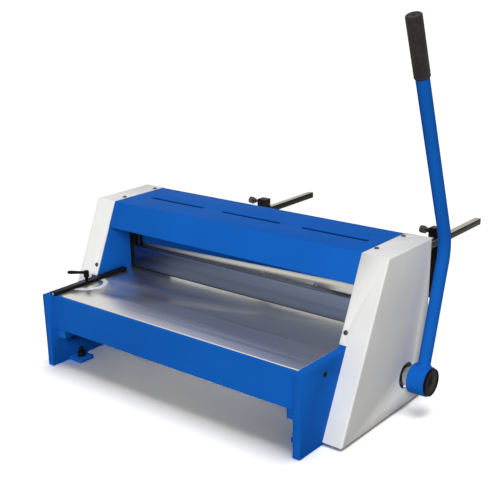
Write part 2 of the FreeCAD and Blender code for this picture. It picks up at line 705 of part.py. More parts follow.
def leg_screws():
    """A countersunk screw through each leg into the bracket."""
    screws = []
    y = "front + leg_screw_setback"
    z = "table_height - leg_screw_drop"
    head = "(leg_screw_head - leg_screw_radius)"
    for _, side in SIDES:
        start, _ = mirrored(side, "outer - leg_screw_length + 1", "outer")
        shank = cylinder("X", start, y, z, "leg_screw_radius", "leg_screw_length - 1")
        if side > 0:
            sink = cone("X", "outer - " + head, y, z, "leg_screw_radius", "leg_screw_head", head)
            socket = cylinder("X", "outer - leg_screw_radius", y, z, "leg_screw_radius*0.8", "leg_screw_head")
        else:
            sink = cone("X", "0 - outer", y, z, "leg_screw_head", "leg_screw_radius", head)
            socket = cylinder("X", "leg_screw_radius - outer - leg_screw_head", y, z,
                              "leg_screw_radius*0.8", "leg_screw_head")
        screws.append(cut(fuse(shank, sink), socket))
    node("leg_screws", group(*screws))


def blade_screw_places():
    return ["(%g)*blade_screw_pitch" % step for step in (-1.5, -0.5, 0.5, 1.5)]


def blade_screw_tools(x, y_face, direction, z, grow):
    """Shank and cone of a countersunk screw whose head is flush with y_face and points along +-Y."""
    head = "(blade_screw_head - blade_screw_radius)"
    if direction < 0:
        shank = cylinder("Y", x, y_face, z, "blade_screw_radius + " + grow, "blade_screw_length")
        sink = cone("Y", x, y_face, z, "blade_screw_head + " + grow, "blade_screw_radius + " + grow, head)
    else:
        shank = cylinder("Y", x, "%s - blade_screw_length" % y_face, z, "blade_screw_radius + " + grow,
                         "blade_screw_length")
        sink = cone("Y", x, "%s - %s" % (y_face, head), z, "blade_screw_radius + " + grow,
                    "blade_screw_head + " + grow, head)
    return [shank, sink]


def screw_row(name, y_face, direction, level, climb):
    """Countersunk socket screws along a blade; their row climbs with the blade."""
    screws = []
    for x in blade_screw_places():
        z = "%s + %s*%s" % (level, x, climb)
        whole = fuse(*blade_screw_tools(x, y_face, direction, z, "0"))
        start = y_face if direction < 0 else y_face + " - blade_screw_radius"
        screws.append(cut(whole, cylinder("Y", x, start, z, "blade_screw_radius*0.8", "blade_screw_radius")))
    node(name, group(*screws))


def hole_row(y_face, direction, level, climb):
    tools = []
    for x in blade_screw_places():
        tools += blade_screw_tools(x, y_face, direction, "%s + %s*%s" % (level, x, climb), "join_gap")
    return tools


def lower_blade():
    blade = span_box(("0 - blade_length/2", "blade_length/2"), ("lower_blade_y", "cut_y"),
                     ("table_height - lower_blade_height", "table_height"))
    node("lower_blade", cut(blade, *hole_row("cut_y", 1, "lower_screw_height", "0")))
    screw_row("lower_blade_screws", "cut_y", 1, "lower_screw_height", "0")
    carrier = span_box(("0 - clear_half", "clear_half"),
                       ("lower_blade_y - join_gap - carrier_depth", "lower_blade_y - join_gap"),
                       ("table_base - join_gap - carrier_height", "table_base - join_gap"))
    node("blade_carrier", cut(carrier, *hole_row("cut_y", 1, "lower_screw_height", "0")))


# Feet

def tab_middle(row):
    return "0 - foot_pitch" if row == "front" else "0"


def foot_tabs(row):
    """One tab at the foot of each side plate, with a rounded corner on its free side."""
    tabs = []
    radius = "stud_radius + join_gap" if row == "front" else "tab_hole_radius"
    for _, side in SIDES:
        y = (tab_middle(row) + " - tab_depth/2", tab_middle(row) + " + tab_depth/2")
        plate = span_box(mirrored(side, "inner - tab_width", "clear_half"), y, ("0", "tab_thick"))
        hole = cylinder("Z", "%d*(inner - tab_width/2)" % side, tab_middle(row), "0 - 1",
                        radius, "tab_thick + 2")
        rounded = doc.addObject("Part::Fillet", "Rounded")
        rounded.Base = plate
        doc.recompute()
        free_x = side*(value("inner") - value("tab_width"))
        numbers = [number for number, edge in enumerate(plate.Shape.Edges, start=1)
                   if near(edge.CenterOfMass.x, free_x) and near(edge.Length, value("tab_thick"))]
        rounded.Edges = [(number, value("tab_corner"), value("tab_corner")) for number in numbers]
        tabs.append(cut(rounded, hole))
    node(row + "_foot_tabs", group(*tabs))


def hexagon(x, y, z, flats, height):
    """A hexagonal prism that stands along Z."""
    prism = doc.addObject("Part::Prism", "Hexagon")
    prism.Polygon = 6
    place(prism, x, y, z)
    prism.setExpression("Circumradius", formula("%s/2/cos(30)" % flats))
    prism.setExpression("Height", formula(height))
    return prism


def levelling_feet():
    """Studs with a washer and a nut in the two front tabs."""
    studs = []
    washers = []
    nuts = []
    y = tab_middle("front")
    for _, side in SIDES:
        x = "%d*(inner - tab_width/2)" % side
        stud = cylinder("Z", x, y, "0", "stud_radius", "stud_height - edge_break")
        point = cone("Z", x, y, "stud_height - edge_break",
                     "stud_radius", "stud_radius - edge_break", "edge_break")
        studs.append(fuse(stud, point))
        washer_base = "tab_thick + join_gap"
        nut_base = washer_base + " + washer_thick + join_gap"
        bore = cylinder("Z", x, y, "tab_thick", "stud_radius + join_gap", "nut_height + stud_height")
        washers.append(cut(cylinder("Z", x, y, washer_base, "washer_radius", "washer_thick"), bore))
        nuts.append(cut(hexagon(x, y, nut_base, "nut_flats", "nut_height"), bore))
    node("levelling_studs", group(*studs))
    node("levelling_washers", group(*washers))
    node("levelling_nuts", group(*nuts))


def rear_cross_bar():
    node("rear_cross_bar", span_box(
        ("0 - clear_half", "clear_half"), ("plate_back - tie_inset - tie_depth", "plate_back - tie_inset"),
        ("tie_base", "tie_base + tie_height")))


# Moving beam with its blade, end blocks and pins

def raked(x, level):
    """A point of an outline in XZ on a line that climbs with the upper blade."""
    return x, "%s + (%s)*rake" % (level, x)


def upper_beam():
    """Web behind the blade, shoulder over it and ledge over the springs, in one piece."""
    body = doc.addObject("PartDesign::Body", "BeamBody")
    profile = outline(body, "YZ_Plane", [
        ("beam_y", "beam_base"), ("beam_y", "ledge_base"), ("beam_y - ledge_reach", "ledge_base"),
        ("beam_y - ledge_reach", "beam_top"), ("beam_back", "beam_top"), ("beam_back", "beam_base")],
        "0 - beam_half")
    pad(body, profile, "2*beam_half")
    shoulder = outline(body, "XZ_Plane", [
        raked("0 - beam_half", "blade_base + upper_blade_height + join_gap"), ("0 - beam_half", "ledge_base"),
        ("beam_half", "ledge_base"), raked("beam_half", "blade_base + upper_blade_height + join_gap")],
        "0 - beam_y")
    pad(body, shoulder, "upper_blade_thick")
    tools = hole_row("upper_blade_y", -1, "upper_screw_height", "rake")
    tools += [cylinder("Z", x, "pin_y", "ledge_base - 1",
                       "hold_down_pin_radius + slide_gap", "ledge_thick + 2")
              for x in pin_places()]
    for name, side in SIDES:
        tools.append(gauge_bar_box(name, side, "join_gap", ("beam_back - gauge_bar_seat", "beam_back + 1")))
        tools += block_bolt_rounds(side, "block_bolt_radius + join_gap")
    node("upper_beam", cut(body, *tools))


def upper_blade():
    body = doc.addObject("PartDesign::Body", "BladeBody")
    profile = outline(body, "XZ_Plane", [
        raked("0 - blade_length/2", "blade_base"),
        raked("0 - blade_length/2", "blade_base + upper_blade_height"),
        raked("blade_length/2", "blade_base + upper_blade_height"),
        raked("blade_length/2", "blade_base")],
        "0 - upper_blade_y - upper_blade_thick + join_gap")
    pad(body, profile, "upper_blade_thick - join_gap")
    node("upper_blade", cut(body, *hole_row("upper_blade_y", -1, "upper_screw_height", "rake")))
    screw_row("upper_blade_screws", "upper_blade_y", -1, "upper_screw_height", "rake")


def block_bolt_rounds(side, radius):
    """Round bars along X at the two bolts of one end block."""
    rounds = []
    for step in (-1, 1):
        start, _ = mirrored(side, "block_end - block_bolt_length - block_bolt_head_thick", "block_end")
        rounds.append(cylinder("X", start, "beam_y + beam_thick/2",
                               "wrist_height + %d*block_bolt_spread" % step,
                               radius, "block_bolt_length + block_bolt_head_thick"))
    return rounds


def end_block(name, side):
    """Block at the beam's end that passes through the side plate's window and carries the wrist pin."""
    block = span_box(mirrored(side, "beam_half + join_gap", "block_end"),
                     ("block_y", "block_y + block_depth"), ("block_base", "block_base + block_height"))
    start, _ = mirrored(side, "beam_half", "block_end + 1")
    tools = [cylinder("X", start, "wrist_y", "wrist_height",
                      "wrist_radius + join_gap", "block_end + 1 - beam_half")]
    tools += block_bolt_rounds(side, "block_bolt_radius + join_gap")
    for step in (-1, 1):
        low, _ = mirrored(side, "block_end - block_bolt_head_thick", "block_end + 1")
        tools.append(cylinder("X", low, "beam_y + beam_thick/2", "wrist_height + %d*block_bolt_spread" % step,
                              "block_bolt_head + join_gap", "block_bolt_head_thick + 1"))
    node("end_block_" + name, cut(block, *tools))


def wrist_pins():
    """Pin of each end block, with its clip outside the connecting rod."""
    pins = []
    clips = []
    for _, side in SIDES:
        clip_x = "rod_end + seat_gap"
        pin_end = clip_x + " + 2*ring_clip_thick"
        start, _ = mirrored(side, "beam_half + join_gap", pin_end)
        pins.append(cylinder("X", start, "wrist_y", "wrist_height", "wrist_radius",
                             pin_end + " - beam_half - join_gap"))
        low, _ = mirrored(side, clip_x, clip_x + " + ring_clip_thick")
        ring = cylinder("X", low, "wrist_y", "wrist_height",
                        "wrist_radius + ring_clip_wall", "ring_clip_thick")
        clips.append(cut(ring, cylinder("X", low, "wrist_y", "wrist_height", "wrist_radius + run_gap",
                                        "ring_clip_thick")))
    node("wrist_pins", group(*pins))
    node("wrist_clips", group(*clips))


def block_bolts():
    bolts = []
    for _, side in SIDES:
        for step in (-1, 1):
            z = "wrist_height + %d*block_bolt_spread" % step
            y = "beam_y + beam_thick/2"
            shank_x, _ = mirrored(side, "block_end - block_bolt_length",
                                  "block_end - block_bolt_head_thick/2")
            shank = cylinder("X", shank_x, y, z,
                             "block_bolt_radius", "block_bolt_length - block_bolt_head_thick/2")
            head_x, _ = mirrored(side, "block_end - block_bolt_head_thick + join_gap", "block_end")
            head = cylinder("X", head_x, y, z, "block_bolt_head", "block_bolt_head_thick - join_gap")
            socket_x, _ = mirrored(side, "block_end - block_bolt_head_thick/2", "block_end")
            socket = cylinder("X", socket_x, y, z, "block_bolt_radius*0.9", "block_bolt_head_thick/2")
            bolts.append(cut(fuse(shank, head), socket))
    node("end_block_bolts", group(*bolts))


def window_gibs():
    """Two bronze gibs in each window guide the end block."""
    gibs = []
    rear = "window_y + window_depth"
    for _, side in SIDES:
        x = mirrored(side, "inner + join_gap", "outer - join_gap")
        z = ("window_base + join_gap", "window_base + window_height - join_gap")
        gibs.append(span_box(x, ("window_y + join_gap", "window_y + gib_thick"), z))
        gibs.append(span_box(x, (rear + " - gib_thick", rear + " - join_gap"), z))
    node("window_gibs", group(*gibs))


# Hold-down: bar in front of the blades, hung from the beam's ledge by a pin at each end,
# and pressed down by a spring round each pin

def pin_places():
    return ["0 - pin_x", "pin_x"]


def hold_down():
    half = ("0 - hold_down_half", "hold_down_half")
    bar = span_box(half, ("hold_down_y", "hold_down_y + hold_down_thick"),
                   ("hold_down_base", "hold_down_top"))
    sockets = [cylinder("Z", x, "pin_y", "hold_down_top - hold_down_pin_depth",
                        "hold_down_pin_radius + join_gap", "hold_down_pin_depth + 1") for x in pin_places()]
    node("hold_down_bar", cut(bar, *sockets))


def guide_strips():
    """Upright strips that guide the ends of the hold-down bar."""
    strips = []
    for _, side in SIDES:
        strips.append(span_box(mirrored(side, "inner - strip_width", "clear_half"),
                               ("cut_y - seat_gap - strip_depth", "cut_y - seat_gap"),
                               ("table_height + join_gap", "table_height + strip_height")))
    node("guide_strips", group(*strips))


def hold_down_pins():
    """Pins that slide in the ledge, each with a collar under its spring and a head over the ledge."""
    pins = []
    springs = []
    for x in pin_places():
        foot = "hold_down_top - hold_down_pin_depth + join_gap"
        pin = cylinder("Z", x, "pin_y", foot, "hold_down_pin_radius", "beam_top + seat_gap + 1 - (%s)" % foot)
        collar = cylinder("Z", x, "pin_y", "collar_base", "collar_radius", "collar_thick")
        head = cylinder("Z", x, "pin_y", "beam_top + seat_gap", "hold_down_pin_head", "pin_head_thick")
        pins.append(fuse(pin, collar, head))
        height = "ledge_base - seat_gap - spring_base"
        coil = cylinder("Z", x, "pin_y", "spring_base", "spring_radius", height)
        inside = cylinder("Z", x, "pin_y", "spring_base", "spring_radius - spring_wire", height)
        springs.append(cut(coil, inside))
    node("hold_down_pins", group(*pins))
    node("hold_down_springs", group(*springs))


# Main shaft with its eccentrics, bushes and keys

def key_box(low, high, grow):
    """The space of a shaft key between two places along X; it sits on top of the shaft."""
    half = "(key_width/2 + %s)" % grow
    base = "shaft_height + shaft_radius - key_depth - %s" % grow
    return span_box(("%s - %s" % (low, grow), "%s + %s" % (high, grow)),
                    ("shaft_y - " + half, "shaft_y + " + half),
                    (base, "shaft_height + shaft_radius - key_depth + key_height + %s" % grow))


def key_spans():
    return [("0 - rod_end", "0 - rod_x"), ("rod_x", "rod_end"), ("hub_x + seat_gap", "hub_end - seat_gap")]


def main_shaft():
    left_end = "0 - rod_end - bush_flange_thick"
    shaft = cylinder("X", left_end, "shaft_y", "shaft_height", "shaft_radius", "hub_end - (%s)" % left_end)
    node("main_shaft", cut(shaft, *[key_box(low, high, "join_gap") for low, high in key_spans()]))
    node("shaft_keys", group(*[key_box(low, high, "0") for low, high in key_spans()]))


def shaft_bore(low, high):
    return cylinder("X", low, "shaft_y", "shaft_height",
                    "shaft_radius + run_gap", "(%s) - (%s)" % (high, low))


def eccentrics():
    for name, side in SIDES:
        low, high = mirrored(side, "rod_x", "rod_end")
        disc = cylinder("X", low, "eccentric_y", "eccentric_z", "eccentric_radius", "rod_thick")
        node("eccentric_" + name, cut(disc, shaft_bore(low, high), key_box(low, high, "join_gap")))


def shaft_bushes():
    """A flanged bronze bush in each side plate."""
    bushes = []
    for _, side in SIDES:
        low, _ = mirrored(side, "inner", "outer")
        sleeve = cylinder("X", low, "shaft_y", "shaft_height",
                          "shaft_radius + run_gap + bush_wall", "plate_thick")
        flange_low, _ = mirrored(side, "outer + join_gap", "outer + join_gap + bush_flange_thick")
        flange = cylinder("X", flange_low, "shaft_y", "shaft_height",
                          "shaft_radius + run_gap + bush_wall + bush_flange", "bush_flange_thick")
        neck_low, _ = mirrored(side, "outer - 1", "outer + 1")
        neck = cylinder("X", neck_low, "shaft_y", "shaft_height", "shaft_radius + run_gap + bush_wall", "2")
        bore_low, bore_high = mirrored(side, "inner - 1", "outer + bush_flange_thick + 1")
        bushes.append(cut(fuse(sleeve, flange, neck), shaft_bore(bore_low, bore_high)))
    node("shaft_bushes", group(*bushes))


def connecting_rod(name, side):
    """Ring round the eccentric, upright shank, and an eye with open play on the wrist pin."""
    low, _ = mirrored(side, "rod_x", "rod_end")
    ring = cylinder("X", low, "eccentric_y", "eccentric_z", "eccentric_radius + rod_ring", "rod_thick")
    eye = cylinder("X", low, "eccentric_y",
                   "eccentric_z + wrist_height - shaft_height - throw*sin(start_angle)",
                   "rod_eye_radius", "rod_thick")
    shank = box(low, "eccentric_y - rod_shank/2", "eccentric_z", "rod_thick", "rod_shank",
                "wrist_height - eccentric_z")
    ring_bore = cylinder("X", low, "eccentric_y", "eccentric_z", "eccentric_radius + run_gap", "rod_thick")
    eye_bore = cylinder("X", low, "eccentric_y", "wrist_height", "wrist_radius + eye_play", "rod_thick")
    node("connecting_rod_" + name, cut(fuse(ring, eye, shank), ring_bore, eye_bore))


# Hand lever

def lever_hub():
    body = doc.addObject("PartDesign::Body", "HubBody")
    profile = circle(body, "YZ_Plane", ("shaft_y", "shaft_height"), "hub_radius", "hub_x")
    barrel = pad(body, profile, "hub_length")

    def ends(edge, middle):
        return near(edge.Length, 2*math.pi*value("hub_radius"))

    dress(body, "Chamfer", barrel, ends, "edge_break")
    node("lever_hub", cut(body, shaft_bore("hub_x", "hub_end"), key_box(*key_spans()[2], "join_gap")))


def hub_cap():
    body = doc.addObject("PartDesign::Body", "CapBody")
    profile = circle(body, "YZ_Plane", ("shaft_y", "shaft_height"), "cap_radius", "hub_end + join_gap")
    disc = pad(body, profile, "cap_thick")

    def outer_edge(edge, middle):
        return edge.BoundBox.XMax > value("hub_end") + value("cap_thick")/2 and edge.BoundBox.YLength > 1

    dress(body, "Chamfer", disc, outer_edge, "cap_edge")
    node("hub_cap", body)


def lever_path(start_reach):
    """Centre line of the lever: straight, one bend, straight, in the plane x = lever_x."""
    low = math.radians(value("lower_lean"))
    high = math.radians(value("upper_lean"))
    x = value("lever_x")
    down = FreeCAD.Vector(0, math.sin(low), math.cos(low))
    up = FreeCAD.Vector(0, -math.sin(high), math.cos(high))
    axle = FreeCAD.Vector(x, value("shaft_y"), value("shaft_height"))
    corner = FreeCAD.Vector(x, value("bend_y"), value("bend_z"))
    tangent = value("bend_radius")*math.tan((low + high)/2)
    middle_out = (down - up).normalize()
    middle = corner - middle_out*(value("bend_radius")*(1/math.cos((low + high)/2) - 1))
    bend_start = corner - down*tangent
    bend_end = corner + up*tangent
    tip = FreeCAD.Vector(x, value("tip_y"), value("tip_z"))
    start = axle + down*start_reach
    edges = [Part.LineSegment(start, bend_start), Part.Arc(bend_start, middle, bend_end),
             Part.LineSegment(bend_end, tip)]
    return Part.Wire([edge.toShape() for edge in edges]), start, down


def lever_tube():
    """Bent tube, saddled onto the hub."""
    reach = value("hub_radius") - 2*value("tube_wall")
    path, start, direction = lever_path(reach)
    pipes = []
    for radius in (value("tube_radius"), value("tube_radius") - value("tube_wall")):
        ring = Part.Wire([Part.Circle(start, direction, radius).toShape()])
        pipes.append(path.makePipeShell([ring], True, False))
    saddle = Part.makeCylinder(value("hub_radius") + value("run_gap"), value("hub_length") + 2,
                               FreeCAD.Vector(value("hub_x") - 1, value("shaft_y"), value("shaft_height")),
                               FreeCAD.Vector(1, 0, 0))
    thing = doc.addObject("Part::Feature", "Tube")
    thing.Shape = pipes[0].cut(pipes[1]).cut(saddle)
    thing.Placement = FreeCAD.Placement()
    node("lever_tube", thing)


def lever_grip():
    """Sleeve over the tube's end, closed at the tip but for one small hole."""
    body = doc.addObject("PartDesign::Body", "GripBody")
    bore = "tube_radius + run_gap"
    profile = outline(body, "XZ_Plane", [
        (bore, "grip_cap - grip_length"), (bore, "join_gap"),
        ("grip_hole", "join_gap"), ("grip_hole", "grip_cap"),
        ("grip_radius - grip_round*0.6", "grip_cap"), ("grip_radius", "grip_cap - grip_round"),
        ("grip_radius", "grip_cap - grip_length + grip_round"),
        ("grip_radius - grip_round*0.4", "grip_cap - grip_length")])
    turned = body.newObject("PartDesign::Revolution", "Turned")
    turned.Profile = profile
    turned.ReferenceAxis = (origin_plane(body, "Z_Axis"), [""])
    turned.Angle = 360
    body.Placement = FreeCAD.Placement(FreeCAD.Vector(), FreeCAD.Rotation(FreeCAD.Vector(1, 0, 0), 20))
    body.setExpression("Placement.Rotation.Angle", formula("upper_lean"))
    place(body, "lever_x", "tip_y", "tip_z")
    node("lever_grip", body)


# Angle stop on the table

def angle_scale():
    ring = cut(cylinder("Z", "scale_x", "scale_y", "table_height - scale_thick",
                        "scale_radius", "scale_thick"),
               cylinder("Z", "scale_x", "scale_y", "table_height - scale_thick - 1",
                        "scale_radius - scale_band", "scale_thick + 2"))
    outside = span_box(("0 - inner - scale_radius", "0 - clear_half"),
                       ("scale_y - 2*scale_radius", "scale_y + 2*scale_radius"),
                       ("table_height - 2*scale_thick", "table_height + scale_thick"))
    node("angle_scale", cut(ring, outside))


def side_stop():
    x = ("scale_x - stop_width/2", "scale_x + stop_width/2")
    bar = span_box(x, ("front + stop_front", "hold_down_y - stop_clearance"), ("stop_base", "stop_top"))
    stud_hole = cylinder("Z", "scale_x", "scale_y", "stop_base - 1",
                         "stop_stud_radius + slide_gap", "stop_height + 2")
    screw_hole = cylinder("Y", "scale_x", "front + stop_front - 1", "stop_base + stop_height/2",
                          "stop_screw_head + join_gap", "stop_width + 1")
    node("side_stop", cut(bar, stud_hole, screw_hole))
    screw = cylinder("Y", "scale_x", "front + stop_front", "stop_base + stop_height/2",
                     "stop_screw_head", "stop_width - join_gap")
    socket = cylinder("Y", "scale_x", "front + stop_front", "stop_base + stop_height/2",
                      "stop_screw_radius*0.6", "stop_screw_radius")
    node("stop_end_screw", cut(screw, socket))
    node("stop_stud", cylinder("Z", "scale_x", "scale_y", "table_height - stop_stud_depth",
                               "stop_stud_radius",
                               "stop_stud_depth + 2*seat_gap + stop_height + clamp_stud_reach - join_gap"))


def clamp_lever():
    """Neck and hub on the stud, and an arm that swells towards its blunt tip."""
    base = "stop_height + 2*seat_gap"
    hub_base = base + " + clamp_neck_height"
    hub_top = hub_base + " + clamp_hub_height"
    arm_z = hub_top + " - 0.7*clamp_hub_radius"
    neck = cylinder("Z", "0", "0", base, "clamp_neck_radius", "clamp_neck_height + edge_break")
    hub = cylinder("Z", "0", "0", hub_base, "clamp_hub_radius", "clamp_hub_height - edge_break")
    crown = cone("Z", "0", "0", hub_top + " - edge_break",
                 "clamp_hub_radius", "clamp_hub_radius - edge_break", "edge_break")
    arm = cone("X", "0", "0", arm_z, "clamp_arm_radius", "clamp_arm_bulge", "clamp_arm_length*0.85")
    tip = cone("X", "clamp_arm_length*0.85", "0", arm_z, "clamp_arm_bulge", "clamp_arm_tip",
               "clamp_arm_length*0.15")
    bore = cylinder("Z", "0", "0", base + " - 1", "stop_stud_radius + slide_gap", "clamp_stud_reach + 1")
    lever = cut(fuse(neck, hub, crown, arm, tip), bore)
    lever.Placement = FreeCAD.Placement(FreeCAD.Vector(), FreeCAD.Rotation(FreeCAD.Vector(0, 0, 1), 30))
    lever.setExpression("Placement.Rotation.Angle", formula("clamp_arm_angle"))
    place(lever, "scale_x", "scale_y", "table_height")
    node("clamp_lever", lever)


# Back gauge

def gauge_bar_box(name, side, grow, way):
    """The space of one gauge bar along a stretch of Y."""
    middle = "%d*gauge_spread" % side
    half = "(gauge_bar_width/2 + %s)" % grow
    rise = "(gauge_bar_thick/2 + %s)" % grow
    level = "gauge_bar_height - gauge_drop_" + name
    return span_box(("%s - %s" % (middle, half), "%s + %s" % (middle, half)), way,
                    ("%s - %s" % (level, rise), "%s + %s" % (level, rise)))


def gauge_bars():
    for name, side in SIDES:
        node("gauge_bar_" + name, gauge_bar_box(
            name, side, "0", ("beam_back - gauge_bar_seat + join_gap", "back + gauge_bar_reach")))


def gauge_clamp(name, side):
    """Split clamp whose yoke goes round the bar, and the arm below it that carries the back stop."""
    middle = "%d*gauge_spread" % side
    drop = " - gauge_drop_" + name
    block = span_box((middle + " - clamp_left", middle + " + clamp_right"), ("clamp_y", "clamp_end"),
                     ("clamp_step" + drop, "clamp_top" + drop))
    yoke = span_box((middle + " - yoke_half", middle + " + yoke_half"),
                    ("clamp_end - yoke_depth", "clamp_end"),
                    ("clamp_base" + drop, "clamp_step + edge_break" + drop))
    way = ("clamp_y - 1", "clamp_end + 1")
    window = gauge_bar_box(name, side, "slide_gap", way)
    slit = span_box((middle + " - slit_shift - clamp_slit/2", middle + " - slit_shift + clamp_slit/2"), way,
                    ("gauge_bar_height" + drop, "clamp_top + 1"))
    thread = cylinder("X", middle + " - clamp_left - 1", "clamp_mid_y", "knob_height" + drop,
                      "knob_screw_radius + slide_gap", "clamp_left + clamp_right")
    node("gauge_clamp_" + name, cut(fuse(block, yoke), window, slit, thread))
    node("gauge_arm_" + name, span_box(
        (middle + " - clamp_left", middle + " + yoke_half"), ("clamp_end - yoke_depth", "arm_back"),
        ("arm_base", "clamp_base - join_gap" + drop)))


def clamp_knob(name, side):
    """Fluted knob with its screw, along X."""
    standoff = "(knob_standoff + knob_slack_%s)" % name
    start = "%d*gauge_spread - clamp_left - %s" % (side, standoff)
    level = "knob_height - gauge_drop_" + name
    barrel = cylinder("X", start + " - knob_length", "clamp_mid_y", level, "knob_radius", "knob_length")
    flutes = []
    count = int(value("knob_flutes"))
    for i in range(count):
        angle = "%d*360/knob_flutes" % i
        flutes.append(cylinder("X", start + " - knob_length - 1",
                               "clamp_mid_y + knob_radius*1.08*cos(%s)" % angle,
                               "%s + knob_radius*1.08*sin(%s)" % (level, angle), "knob_radius*0.2",
                               "knob_length*0.7 + 1"))
    screw = cylinder("X", start + " - 1", "clamp_mid_y", level, "knob_screw_radius",
                     standoff + " + clamp_left + 1")
    node("clamp_knob_" + name, fuse(cut(barrel, *flutes), screw))


def back_stop():
    node("back_stop", span_box(("0 - stop_bar_span/2", "stop_bar_span/2"),
                               ("clamp_end - yoke_depth - join_gap - stop_bar_thick",
                                "clamp_end - yoke_depth - join_gap"),
                               ("stop_bar_base", "stop_bar_top")))


def build():
    fill_sheet()
    for name, side in SIDES:
        side_plate(name, side)
        side_cover(name, side)
        end_block(name, side)
        connecting_rod(name, side)
        gauge_clamp(name, side)
        clamp_knob(name, side)
    top_hood()
    cover_screws()
    hood_rails()
    front_apron()
    table_plate()
    apron_brackets()
    leg_screws()
    lower_blade()
    foot_tabs("front")
    foot_tabs("rear")
    levelling_feet()
    rear_cross_bar()
    upper_beam()
    upper_blade()
    wrist_pins()
    block_bolts()
    hold_down()
    guide_strips()
    window_gibs()
    hold_down_pins()
    main_shaft()
    eccentrics()
    shaft_bushes()
    lever_hub()
    hub_cap()
    lever_tube()
    lever_grip()
    angle_scale()
    side_stop()
    clamp_lever()
    gauge_bars()
    back_stop()
    doc.recompute()


def check_and_write():
    """Stop on any failed object or empty shape, then write one file for each sub-part."""
    failed = [thing.Label for thing in doc.Objects if "Invalid" in thing.State or "Error" in thing.State]
    if failed:
        raise RuntimeError("failed objects: " + ", ".join(failed))
    for name, thing in NODES.items():
        if thing.Shape.isNull() or not thing.Shape.isValid() or not thing.Shape.Solids:
            raise RuntimeError("bad shape: " + name)
    os.makedirs("parts", exist_ok=True)
    for name, thing in NODES.items():
        thing.Shape.exportStep(os.path.join("parts", name + ".step"))
    print("%d sub-parts written" % len(NODES))


build()
check_and_write()
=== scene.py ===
import json
import math

import bmesh
import bpy
from bpy.props import FloatProperty, FloatVectorProperty, IntProperty, PointerProperty
from bpy.types import Operator, Panel, PropertyGroup
from mathutils import Matrix, Vector

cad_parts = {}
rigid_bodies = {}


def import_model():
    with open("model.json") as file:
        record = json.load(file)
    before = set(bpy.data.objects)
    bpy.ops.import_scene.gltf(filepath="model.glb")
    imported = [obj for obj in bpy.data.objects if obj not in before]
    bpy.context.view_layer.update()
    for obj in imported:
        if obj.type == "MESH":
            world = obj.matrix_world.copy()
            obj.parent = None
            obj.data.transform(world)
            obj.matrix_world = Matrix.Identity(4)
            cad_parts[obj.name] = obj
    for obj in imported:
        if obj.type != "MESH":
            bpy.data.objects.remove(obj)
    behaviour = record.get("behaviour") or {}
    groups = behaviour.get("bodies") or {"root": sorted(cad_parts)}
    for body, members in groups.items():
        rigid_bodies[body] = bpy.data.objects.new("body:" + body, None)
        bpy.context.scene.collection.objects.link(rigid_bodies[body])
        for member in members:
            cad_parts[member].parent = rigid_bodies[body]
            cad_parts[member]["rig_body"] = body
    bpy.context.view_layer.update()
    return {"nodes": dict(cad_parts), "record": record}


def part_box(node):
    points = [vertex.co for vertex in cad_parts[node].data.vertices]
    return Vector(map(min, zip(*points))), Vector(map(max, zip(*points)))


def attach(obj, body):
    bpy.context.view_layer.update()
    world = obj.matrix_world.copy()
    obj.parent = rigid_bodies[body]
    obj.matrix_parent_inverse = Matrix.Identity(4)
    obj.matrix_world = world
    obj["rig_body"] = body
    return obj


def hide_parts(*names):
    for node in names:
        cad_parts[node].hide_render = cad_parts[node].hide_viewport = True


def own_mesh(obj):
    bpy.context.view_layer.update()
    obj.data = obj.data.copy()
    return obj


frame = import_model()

bl_info = {
    "name": "Bench Plate Shear",
    "version": (1, 0, 0),
    "blender": (4, 5, 0),
    "location": "3D View > Sidebar > Plate Shear",
    "description": "Gives the bench plate shear its paint, ground steel, rubber and small parts",
    "category": "Object",
}

# Bench plate shear. +X runs to the lever side, +Y to the back gauge, +Z up.
# Blender's unit is the metre; MM turns a length in millimetres into it.
MM = 0.001
SIDES = (-1, 1)
X_AXIS, Y_AXIS, Z_AXIS = Vector((1, 0, 0)), Vector((0, 1, 0)), Vector((0, 0, 1))
SLOT_OF = {part["node"]: part["material_slot"] for part in frame["record"]["subparts"]}


def linear(code):
    """Turn an sRGB hex colour into the linear values that a shader takes."""
    parts = [int(code[i:i + 2], 16) / 255 for i in (1, 3, 5)]
    return [part / 12.92 if part <= 0.04045 else ((part + 0.055) / 1.055) ** 2.4 for part in parts]


# Sizes and colours a user would change

class ShearSizes(PropertyGroup):
    plate_round: FloatProperty(name="Plate rounding", default=0.9 * MM, min=0.0, max=3 * MM, unit="LENGTH",
                               description="Rounded edge of the painted plates")
    sheet_round: FloatProperty(name="Sheet rounding", default=0.35 * MM, min=0.0, max=0.9 * MM, unit="LENGTH",
                               description="Rounded edge of the hood's and covers' sheet metal")
    machined_round: FloatProperty(name="Machined rounding", default=0.4 * MM, min=0.0, max=2 * MM,
                                  unit="LENGTH", description="Broken edge of the machined steel")
    bar_round: FloatProperty(name="Drawn bar rounding", default=1.6 * MM, min=0.0, max=3 * MM, unit="LENGTH",
                             description="Rounded edge of the gauge bars")
    thread_pitch: FloatProperty(name="Stud thread pitch", default=2 * MM, min=1 * MM, max=4 * MM,
                                unit="LENGTH", description="Thread of the levelling studs")
    spring_turns: IntProperty(name="Spring turns", default=6, min=3, max=12,
                              description="Turns of a hold-down spring")
    knob_lobes: IntProperty(name="Knob lobes", default=6, min=4, max=12,
                            description="Lobes of a clamp knob")
    weld_bead: FloatProperty(name="Weld bead", default=2.6 * MM, min=1 * MM, max=5 * MM, unit="LENGTH",
                             description="Radius of the weld round the lever's foot")
    peel: FloatProperty(name="Orange peel", default=2.4, min=0.5, max=8.0,
                        description="Width in millimetres of the waves in the powder coat")
    grind: FloatProperty(name="Grinding line", default=1.1, min=0.3, max=4.0,
                         description="Spacing in millimetres of the lines on the ground steel, drawn coarser "
                                     "than real")


